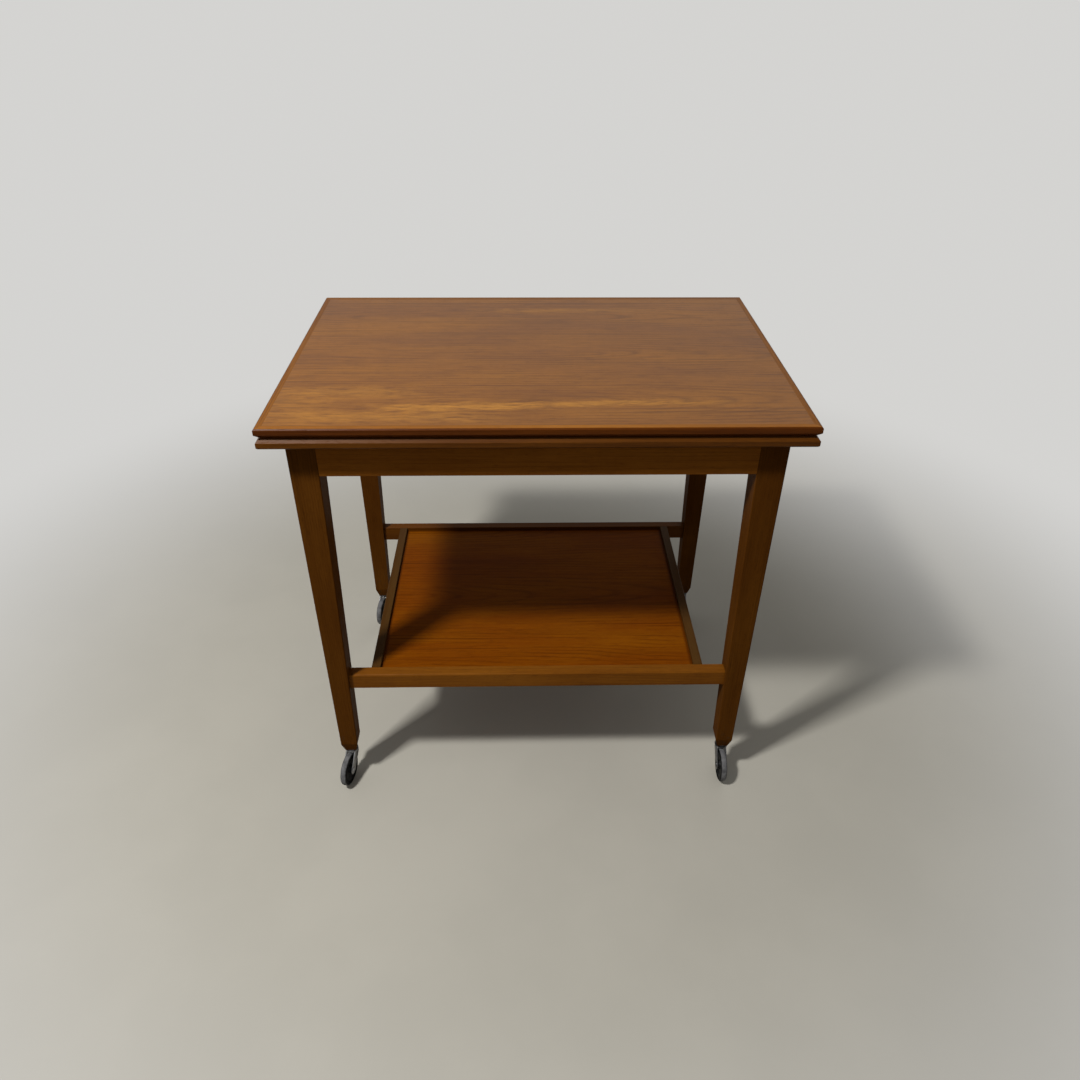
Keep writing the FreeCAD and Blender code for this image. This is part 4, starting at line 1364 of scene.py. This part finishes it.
@dataclass
class FoldingTop:
    """Two equal leaves: veneered boards with solid edging all round.

    Args:
        edge_painted_shades: Painted shade: what the edging's colour is multiplied by on each leaf's
            upright faces.
        streaks: The lighter streaks of the upper leaf.
        board_seeds: The first board's part of the log, and the step to the next.
        edging_seeds: The same of the edging.
    """

    # painted shade on the upright faces of each leaf's edging
    edge_painted_shades: dict[str, Colour] = field(
        default_factory=lambda: {"upper": (0.33, 0.22, 0.07), "lower": (0.34, 0.29, 0.15)}
    )
    streaks: tuple[Streak, ...] = (
        Streak(-0.110, -0.183, 0.150, 0.018, 1.00, 0.02),
        Streak(0.090, -0.174, 0.210, 0.012, 0.90, 0.03),
        Streak(-0.200, -0.212, 0.200, 0.026, 0.55),
        Streak(-0.270, -0.136, 0.130, 0.030, 0.50),
        Streak(-0.330, -0.180, 0.080, 0.060, 0.35),
        Streak(0.040, 0.190, 0.200, 0.014, 0.40),
    )
    board_seeds: Span = (3.7, 11.0)
    edging_seeds: Span = (1.3, 5.0)

    def build(self) -> None:
        """Dress the boards and their edging."""
        for index, (level, tint) in enumerate(self.edge_painted_shades.items()):
            board = Teak(
                f"teak_veneer_{level}_leaf", Grain.LONG, Figure.CROWN, ring_share=0.50,
                vein_share=0.50, fleck_share=0.42, flame_share=0.34,
                seed=self.board_seeds[0] + self.board_seeds[1] * index,
                streaks=self.streaks if level == "upper" else (),
            )
            edging = EdgingTeak(
                f"teak_edging_{level}_leaf", Grain.LONG, pale=(0.310, 0.118, 0.013),
                warm=(0.225, 0.079, 0.0075), dark=(0.084, 0.025, 0.003), sheen_level=0.07,
                seed=self.edging_seeds[0] + self.edging_seeds[1] * index, painted_shade_tint=tint,
            )
            Workshop.dress([f"{level}_leaf_board"], board.make())
            Workshop.dress([f"{level}_leaf_lipping"], edging.make())
            log.info("%s leaf: veneered board and mitred edging dressed", level)


@dataclass
class Hinges:
    """Three brass hinges between the leaves, with slotted screws.

    Args:
        middles: Where each hinge's middle is along the hinge line.
        turns: Which way the slots of a leaf's screws lie, in radians.
        screw_reach: How far a screw is from its hinge's middle.
        screw_line: How far back the screws are.
        screw: The screws.
        faces: The height of the screws' heads in each leaf.
        easing: How wide the plates' edges are rounded.
    """

    middles: dict[str, float] = field(
        default_factory=lambda: {"left": -0.270, "centre": 0.0, "right": 0.270}
    )
    turns: tuple[float, ...] = (0.3, 1.2, -0.5, 0.9, 0.1, -1.1)
    screw_reach: float = 0.014
    screw_line: float = 0.24095
    screw: SlottedScrew = SlottedScrew(1.5 * MM, 3.0 * MM, 9.0 * MM)
    faces: dict[str, float] = field(default_factory=lambda: {"upper": 0.6884, "lower": 0.6876})
    easing: float = 0.25 * MM

    def _places(self) -> Iterator[float]:
        """Give the place of each screw along the hinge line."""
        for middle in self.middles.values():
            yield from (middle - self.screw_reach, middle + self.screw_reach)

    def build(self) -> None:
        """Make the plates with eased edges and the screws, and dress the pins."""
        brass = Metal(
            "aged_brass", bright=(0.60, 0.42, 0.16), dull=(0.20, 0.125, 0.05), dull_share=0.55,
            gloss_spread=0.28, seed=2.0,
        ).make()
        for side in self.middles:
            for level in self.faces:
                node = f"hinge_{side}_{level}_plate"
                Workshop.ease(node, self.easing, brass, f"{level}_leaf", "brass")
            Workshop.dress([f"hinge_{side}_pin"], brass)
            log.info("hinge %s: two plates and a pin", side)
        for level, face in self.faces.items():
            mesh = bmesh.new()
            for place, turn in zip(self._places(), self.turns):
                self.screw.drive(mesh, (place, self.screw_line, face), turn, level == "upper")
            name, node = f"slotted_hinge_screws_{level}", f"hinge_screws_{level}"
            Workshop.piece(name, mesh, brass, f"{level}_leaf", node, "brass")
        log.info("hinge screws: six in each leaf")


@dataclass
class SwivelPivot:
    """The plate, stud, washer and nut that the top turns on, and the rail that carries them.

    Args:
        centre: Where the stud stands.
        face: The height of the screws' heads.
        circle: How far the screws are from the stud.
        screws: Which way each screw lies from the stud, and its slot in radians.
        screw: The screws.
        easing: How wide the metal's edges are rounded.
    """

    centre: tuple[float, float] = (0.12560, 0.13235)
    face: float = 0.6731
    circle: float = 22.0 * MM
    screws: tuple[Point, ...] = ((1, 1, 0.4), (-1, 1, 1.5), (-1, -1, -0.7), (1, -1, 1.0))
    screw: SlottedScrew = SlottedScrew(1.75 * MM, 3.4 * MM, 10.0 * MM)
    easing: float = 0.30 * MM

    def build(self) -> None:
        """Make the metal pieces and dress the rail and its stop peg."""
        zinc = Metal("zinc_plate", seed=7.0).make()
        for node in ("pivot_plate", "pivot_washer", "pivot_nut"):
            Workshop.ease(node, self.easing, zinc, "lower_leaf", "steel")
        mesh = bmesh.new()
        reach = self.circle / math.sqrt(2.0)
        for along, across, turn in self.screws:
            at = (self.centre[0] + along * reach, self.centre[1] + across * reach, self.face)
            self.screw.drive(mesh, at, turn, point_up=True)
        Workshop.piece(
            "slotted_pivot_screws", mesh, zinc, "lower_leaf", "pivot_plate_screws", "steel"
        )
        Workshop.dress(["pivot_rail"], Beech("beech_rail").make())
        Workshop.dress(["stop_peg"], Beech("beech_peg", Grain.UPRIGHT).make())
        log.info("swivel pivot: plate, washer, nut and screws; rail and stop peg dressed")


@dataclass
class Underframe:
    """Four tapered legs and four aprons, with felt glides in the top edges.

    Args:
        pale: Colour of the legs' lightest wood.
        warm: The colour that most of it has.
        dark: Colour of its late wood.
        apron_painted_light: Painted light: how much lighter the aprons are made than the legs,
            against the shade under the top.
        leg_seeds: The first leg's part of the log, and the step to the next.
        apron_seeds: The same of the aprons.
        scuffed_foot: Height up to which the legs are scuffed.
    """

    pale: Colour = (0.102, 0.036, 0.0045)
    warm: Colour = (0.071, 0.023, 0.0028)
    dark: Colour = (0.030, 0.0088, 0.0012)
    # painted light: the aprons are lightened to offset the shade that the top casts on them
    apron_painted_light: float = 2.3
    leg_seeds: Span = (2.1, 3.3)
    apron_seeds: Span = (21.0, 4.1)
    scuffed_foot: float = 0.16

    def _teak(
        self, name: str, grain: Grain, seed: float, scuffed_foot: float = 0.0, share: float = 1.0
    ) -> bpy.types.Material:
        """Make the frame's darker teak.

        Args:
            name: The material's name.
            grain: Which way the fibres run.
            seed: A shift that gives the piece its own part of the log.
            scuffed_foot: Height up to which it is scuffed.
            share: How light it is beside the legs; painted light on the aprons.

        Returns:
            The material.
        """
        pale, warm, dark = (
            tuple(share * part for part in tone) for tone in (self.pale, self.warm, self.dark)
        )
        return Teak(
            name, grain, pale=pale, warm=warm, dark=dark, ring=0.0036, ring_share=0.25,
            vein_share=0.35, sheen_level=0.005, seed=seed, scuffed_foot=scuffed_foot,
        ).make()

    def build(self) -> None:
        """Dress the legs, the aprons and the glides."""
        for index, corner in enumerate(CasterSet.CORNERS):
            seed = self.leg_seeds[0] + self.leg_seeds[1] * index
            leg = self._teak(f"teak_leg_{corner}", Grain.UPRIGHT, seed, self.scuffed_foot)
            Workshop.dress([f"leg_{corner}"], leg)
            log.info("leg %s dressed", corner)
        for index, (side, grain) in enumerate(SIDES.items()):
            seed = self.apron_seeds[0] + self.apron_seeds[1] * index
            teak = self._teak(f"teak_apron_{side}", grain, seed, share=self.apron_painted_light)
            Workshop.dress([f"{side}_apron"], teak)
            log.info("%s apron dressed", side)
        Workshop.dress(["felt_glides"], Felt("green_felt").make())
        log.info("felt glides dressed")


@dataclass
class TrayShelf:
    """The recessed tray shelf: a golden front rail, darker side rails, and a back rail darkened by
    painted shade, round a panel.

    Args:
        golden: Pale and warm colour of the front rail.
        brown: The same of the side rails.
        deep: The same of the back rail, darkened with painted shade from the top.
        recess: The panel's field between the rails.
        rail_seeds: The first rail's part of the log, and the step to the next.
    """

    golden: tuple[Colour, Colour] = ((0.205, 0.072, 0.006), (0.140, 0.044, 0.003))
    brown: tuple[Colour, Colour] = ((0.078, 0.037, 0.008), (0.055, 0.025, 0.005))
    # painted shade: the back rail is darkened as if in the shade of the top
    deep: tuple[Colour, Colour] = ((0.120, 0.040, 0.003), (0.082, 0.024, 0.002))
    recess: Tray = Tray(0.2593, -0.1976, 0.2111)
    rail_seeds: Span = (41.0, 2.9)

    def build(self) -> None:
        """Dress the rails and the panel."""
        for index, (side, grain) in enumerate(SIDES.items()):
            pale, warm = {"front": self.golden, "back": self.deep}.get(side, self.brown)
            rail = Teak(
                f"teak_shelf_rail_{side}", grain, pale=pale, warm=warm,
                dark=(0.045, 0.013, 0.0015), ring=0.0036, ring_share=0.25, sheen_level=0.04,
                seed=self.rail_seeds[0] + self.rail_seeds[1] * index,
            )
            Workshop.dress([f"shelf_{side}_rail"], rail.make())
            log.info("shelf %s rail dressed", side)
        panel = Teak(
            "teak_veneer_shelf", Grain.LONG, Figure.CROWN, pale=(0.205, 0.060, 0.0012),
            warm=(0.155, 0.036, 0.0005), dark=(0.060, 0.013, 0.0003), leaf=0.21, ring_share=0.40,
            vein_share=0.42, flame_share=0.26, sheen_level=0.02, seed=8.4, tray=self.recess,
        )
        Workshop.dress(["shelf_panel"], panel.make())
        log.info("shelf panel dressed")


@dataclass
class WheelSet:
    """The wheels: a pressed centre with a rubber tyre on it.

    Args:
        radius: The tyre's radius.
        core: The centre's radius, where the tyre sits.
        width: The tyre's width.
        hub_width: The hub's width.
        hub_radius: The hub's radius.
        bore: Radius of the hole for the axle.
        rim_width: The rim's width.
        tread_edge: How far inside the tyre's radius the worn tread starts.
        tread_fade: Over how much radius it sets in.
        steps: How many flats a turn has.
    """

    TREAD = "tread"

    radius: float = 29.0 * MM
    core: float = 21.0 * MM
    width: float = 10.5 * MM
    hub_width: float = 12.9 * MM
    hub_radius: float = 7.5 * MM
    bore: float = 3.55 * MM
    rim_width: float = 9.0 * MM
    tread_edge: float = 2.2 * MM
    tread_fade: float = 1.4 * MM
    steps: int = 72

    def tyre(self) -> bmesh.types.BMesh:
        """Make a tyre about the Y axis, with rounded shoulders and a bead line on each side.

        Returns:
            The tyre, with its tread painted on it.
        """
        half, outer, core = self.width / 2, self.radius, self.core
        mesh = Workshop.turned(
            [
                (core, half * 0.86),
                (core + 0.5 * MM, half * 0.98),
                (core + 1.4 * MM, half),
                (core + 1.9 * MM, half * 0.93),
                (core + 2.4 * MM, half * 0.99),
                (outer - 2.6 * MM, half * 0.97),
                (outer - 1.5 * MM, half * 0.88),
                (outer - 0.6 * MM, half * 0.68),
                (outer - 0.1 * MM, half * 0.36),
                (outer, half * 0.06),
            ],
            self.steps,
        )
        layer = mesh.verts.layers.float.new(self.TREAD)
        for vert in mesh.verts:
            radius = math.hypot(vert.co.x, vert.co.z)
            vert[layer] = min(1.0, max(0.0, (radius - (outer - self.tread_edge)) / self.tread_fade))
        return mesh

    def centre(self) -> bmesh.types.BMesh:
        """Make a wheel's centre about the Y axis: hub, dished web and rim.

        Returns:
            The centre.
        """
        hub, rim, edge = self.hub_width / 2, self.rim_width / 2, self.hub_radius
        inner = self.core - 2.4 * MM
        return Workshop.turned(
            [
                (self.bore, hub),
                (edge - 1.0 * MM, hub),
                (edge, hub - 0.8 * MM),
                (edge + 0.3 * MM, 3.2 * MM),
                (edge + 1.2 * MM, 2.1 * MM),
                (edge + 3.0 * MM, 1.9 * MM),
                (inner - 1.6 * MM, 2.1 * MM),
                (inner - 0.4 * MM, 3.0 * MM),
                (inner, rim - 0.5 * MM),
                (inner + 0.5 * MM, rim),
                (self.core - 0.4 * MM, rim),
                (self.core, rim - 0.4 * MM),
            ],
            self.steps,
        )


@dataclass
class CasterSet:
    """Four swivel casters in sockets in the legs' feet.

    Args:
        swivel: How far the stems are from the middle, to the side and to the front or back.
        shift: How far back the middle of the four stems lies.
        trail: How far a wheel trails its stem.
        headings: Which way each wheel trails, in degrees.
        plate_light_and_shade: How bright each caster's plating is, as painted light and shade of
            where it stands.
        easing: How wide the metal's edges are rounded.
        wheels: The wheels.
    """

    CORNERS = ("front_left", "front_right", "back_left", "back_right")

    swivel: tuple[float, float] = (0.326, 0.216)
    shift: float = 6.75 * MM
    trail: float = 22.5 * MM
    headings: tuple[float, ...] = (-102.5, -91.0, -99.3, -95.0)
    # painted light and shade: each caster's plating is lighter or darker by how the light falls on
    # it
    plate_light_and_shade: tuple[float, ...] = (0.27, 0.11, 0.19, 0.16)
    easing: float = 0.35 * MM
    wheels: WheelSet = field(default_factory=WheelSet)

    def _stand(self, corner: str, heading: float) -> Matrix:
        """Find where a corner's wheel stands and which way it rolls.

        Args:
            corner: The corner's name.
            heading: Which way the wheel trails, in radians.

        Returns:
            The matrix that puts a wheel made about the Y axis there.
        """
        across = -1.0 if "left" in corner else 1.0
        deep = -1.0 if "front" in corner else 1.0
        at = Vector((
            across * self.swivel[0] + self.trail * math.cos(heading),
            deep * self.swivel[1] + self.shift + self.trail * math.sin(heading),
            self.wheels.radius,
        ))
        return Matrix.Translation(at) @ Matrix.Rotation(heading, 4, "Z")

    def build(self) -> None:
        """Make the forks, stems, axles, wheels and tyres, and dress the sockets."""
        plates = [
            Metal(
                f"caster_plate_{corner}", bright=(tone, tone, tone * 1.03),
                dull=(0.050, 0.048, 0.046), dull_share=0.45, gloss_spread=0.34, spot=0.004,
                seed=4.0 + index,
            ).make()
            for index, (corner, tone) in enumerate(zip(self.CORNERS, self.plate_light_and_shade))
        ]
        enamel = Enamel("wheel_enamel").make()
        rubber = Rubber("tyre_rubber_worn").make()
        for corner, heading, plate in zip(self.CORNERS, self.headings, plates):
            for part in ("fork", "stem", "axle"):
                node = f"caster_{corner}_{part}"
                Workshop.ease(node, self.easing, plate, f"{corner}_fork", "caster_steel")
            stand = self._stand(corner, math.radians(heading))
            for part, mesh, finish, slot in (
                ("wheel", self.wheels.centre(), enamel, "wheel_steel"),
                ("tyre", self.wheels.tyre(), rubber, "tyre_rubber"),
            ):
                bmesh.ops.transform(mesh, matrix=stand, verts=mesh.verts)
                node = f"caster_{corner}_{part}"
                Workshop.piece(f"{node}_turned", mesh, finish, f"{corner}_wheel", node, slot)
            log.info("caster %s: fork, stem, axle, wheel and tyre", corner)
        Workshop.dress(["caster_sockets"], plates[-1])
        log.info("caster sockets dressed")


# ---------------------------------------------------------------- studio


@dataclass
class Lamp:
    """A square soft box that looks at a point.

    Args:
        name: The lamp's name.
        at: Where it hangs.
        aim: The point that it looks at.
        size: The length of its side.
        power: Its power in watts.
        tint: Its colour.
        mirrored: Whether it shows in reflections.
    """

    name: str
    at: Point
    aim: Point
    size: float
    power: float
    tint: Colour
    mirrored: bool = True

    def build(self) -> None:
        """Hang the lamp."""
        light = bpy.data.lights.new(self.name, "AREA")
        light.shape = "SQUARE"
        light.size = self.size
        light.energy = self.power
        light.color = self.tint
        lamp = Workshop.put(self.name, light)
        lamp.visible_camera = False
        lamp.visible_glossy = self.mirrored
        lamp.location = self.at
        ahead = Vector(self.aim) - Vector(self.at)
        lamp.rotation_euler = ahead.to_track_quat("-Z", "Y").to_euler()


@dataclass
class Camera:
    """The camera.

    Args:
        at: Where it stands.
        look_down: How far it looks down, in radians.
        look_aside: How far it looks to the left, in radians.
        lean: How far it leans to the side, in radians.
        focal_share: Its focal length as a share of the picture's width.
        sensor: The width of its sensor in millimetres.
        near: The nearest that it sees.
        far: The furthest that it sees.
    """

    at: Point = (-0.02239, -1.21868, 1.20520)
    look_down: float = 0.6091
    look_aside: float = -0.0243
    lean: float = 0.0073
    focal_share: float = 839.63 / 1080.0
    sensor: float = 36.0
    near: float = 0.05
    far: float = 60.0

    def build(self) -> None:
        """Set up the camera and make it the scene's own."""
        aside_cos, aside_sin = math.cos(self.look_aside), math.sin(self.look_aside)
        down_cos, down_sin = math.cos(self.look_down), math.sin(self.look_down)
        lean_cos, lean_sin = math.cos(self.lean), math.sin(self.lean)
        level = Vector((aside_cos, aside_sin, 0.0))
        away = Vector((-aside_sin, aside_cos, 0.0))
        ahead = down_cos * away - down_sin * Vector((0.0, 0.0, 1.0))
        above = down_sin * away + down_cos * Vector((0.0, 0.0, 1.0))
        right = lean_cos * level + lean_sin * above
        up = lean_cos * above - lean_sin * level
        lens = bpy.data.cameras.new("camera")
        lens.sensor_fit = "HORIZONTAL"
        lens.sensor_width = self.sensor
        lens.lens = self.focal_share * self.sensor
        lens.clip_start = self.near
        lens.clip_end = self.far
        camera = Workshop.put("camera", lens)
        turn = Matrix((right, up, -ahead)).transposed()
        camera.matrix_world = Matrix.Translation(self.at) @ turn.to_4x4()
        bpy.context.scene.camera = camera


@dataclass
class Studio:
    """A pale floor, a pale surround, soft lamps and the camera.

    Args:
        floor_half: Half the floor's width.
        horizon: How strongly the surround lights the object from the sides.
        zenith: How strongly it lights it from above.
        sky_edge: How high its light is as strong as at the zenith, from 0 to 1.
        sky: The colour of its light.
        lamps: The lamps.
        camera: The camera.
    """

    floor_half: float = 14.0
    horizon: float = 0.03
    zenith: float = 0.34
    sky_edge: float = 0.85
    sky: Colour = (1.0, 0.99, 0.97)
    lamps: tuple[Lamp, ...] = (
        Lamp("key", (-1.09, -1.01, 2.48), (-0.12, -0.04, 0.30), 0.24, 66.0, (1.0, 0.985, 0.96)),
        Lamp("fill", (0.90, 2.30, 0.72), (0.0, 0.0, 0.40), 0.90, 8.0, (1.0, 0.99, 0.98), False),
    )
    camera: Camera = field(default_factory=Camera)

    def _floor(self) -> None:
        """Lay the floor."""
        mesh = bmesh.new()
        bmesh.ops.create_grid(mesh, x_segments=1, y_segments=1, size=self.floor_half)
        Workshop.form("floor", mesh, PaleFloor("pale_floor").make())

    def _surround(self) -> None:
        """Light the world from above, and show it pale to the camera and in reflections."""
        world = bpy.data.worlds.new("surround")
        bench = Bench(world)
        strength = bench.node(
            "ShaderNodeMapRange",
            inputs={
                "Value": bench.parts("Generated")[2],
                "From Min": 0.0,
                "From Max": self.sky_edge,
                "To Min": self.horizon,
                "To Max": self.zenith,
            },
        )
        light = bench.node(
            "ShaderNodeBackground",
            inputs={"Color": self.sky, "Strength": strength.outputs["Result"]},
        )
        shown = bench.node(
            "ShaderNodeBackground", inputs={"Color": PaleFloor.surround, "Strength": 1.0}
        )
        mix = bench.node(
            "ShaderNodeMixShader",
            inputs={0: bench.seen(), 1: light.outputs[0], 2: shown.outputs[0]},
        )
        bench.node("ShaderNodeOutputWorld", inputs={"Surface": mix.outputs[0]})
        bpy.context.scene.world = world

    def build(self) -> None:
        """Set the whole studio up."""
        self._floor()
        self._surround()
        for lamp in self.lamps:
            lamp.build()
        self.camera.build()
        bpy.context.scene.view_settings.view_transform = "Standard"
        log.info("studio: floor, surround, %d lamps and the camera", len(self.lamps))


def main() -> None:
    """Build every sub-assembly and the studio."""
    logging.basicConfig(level=logging.INFO, format="%(name)s: %(message)s")
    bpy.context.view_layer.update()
    for assembly in (FoldingTop(), Hinges(), SwivelPivot(), Underframe(), TrayShelf(), CasterSet()):
        assembly.build()
        log.info("%s built", type(assembly).__name__)
    Studio().build()


if __name__ == "__main__":
    main()
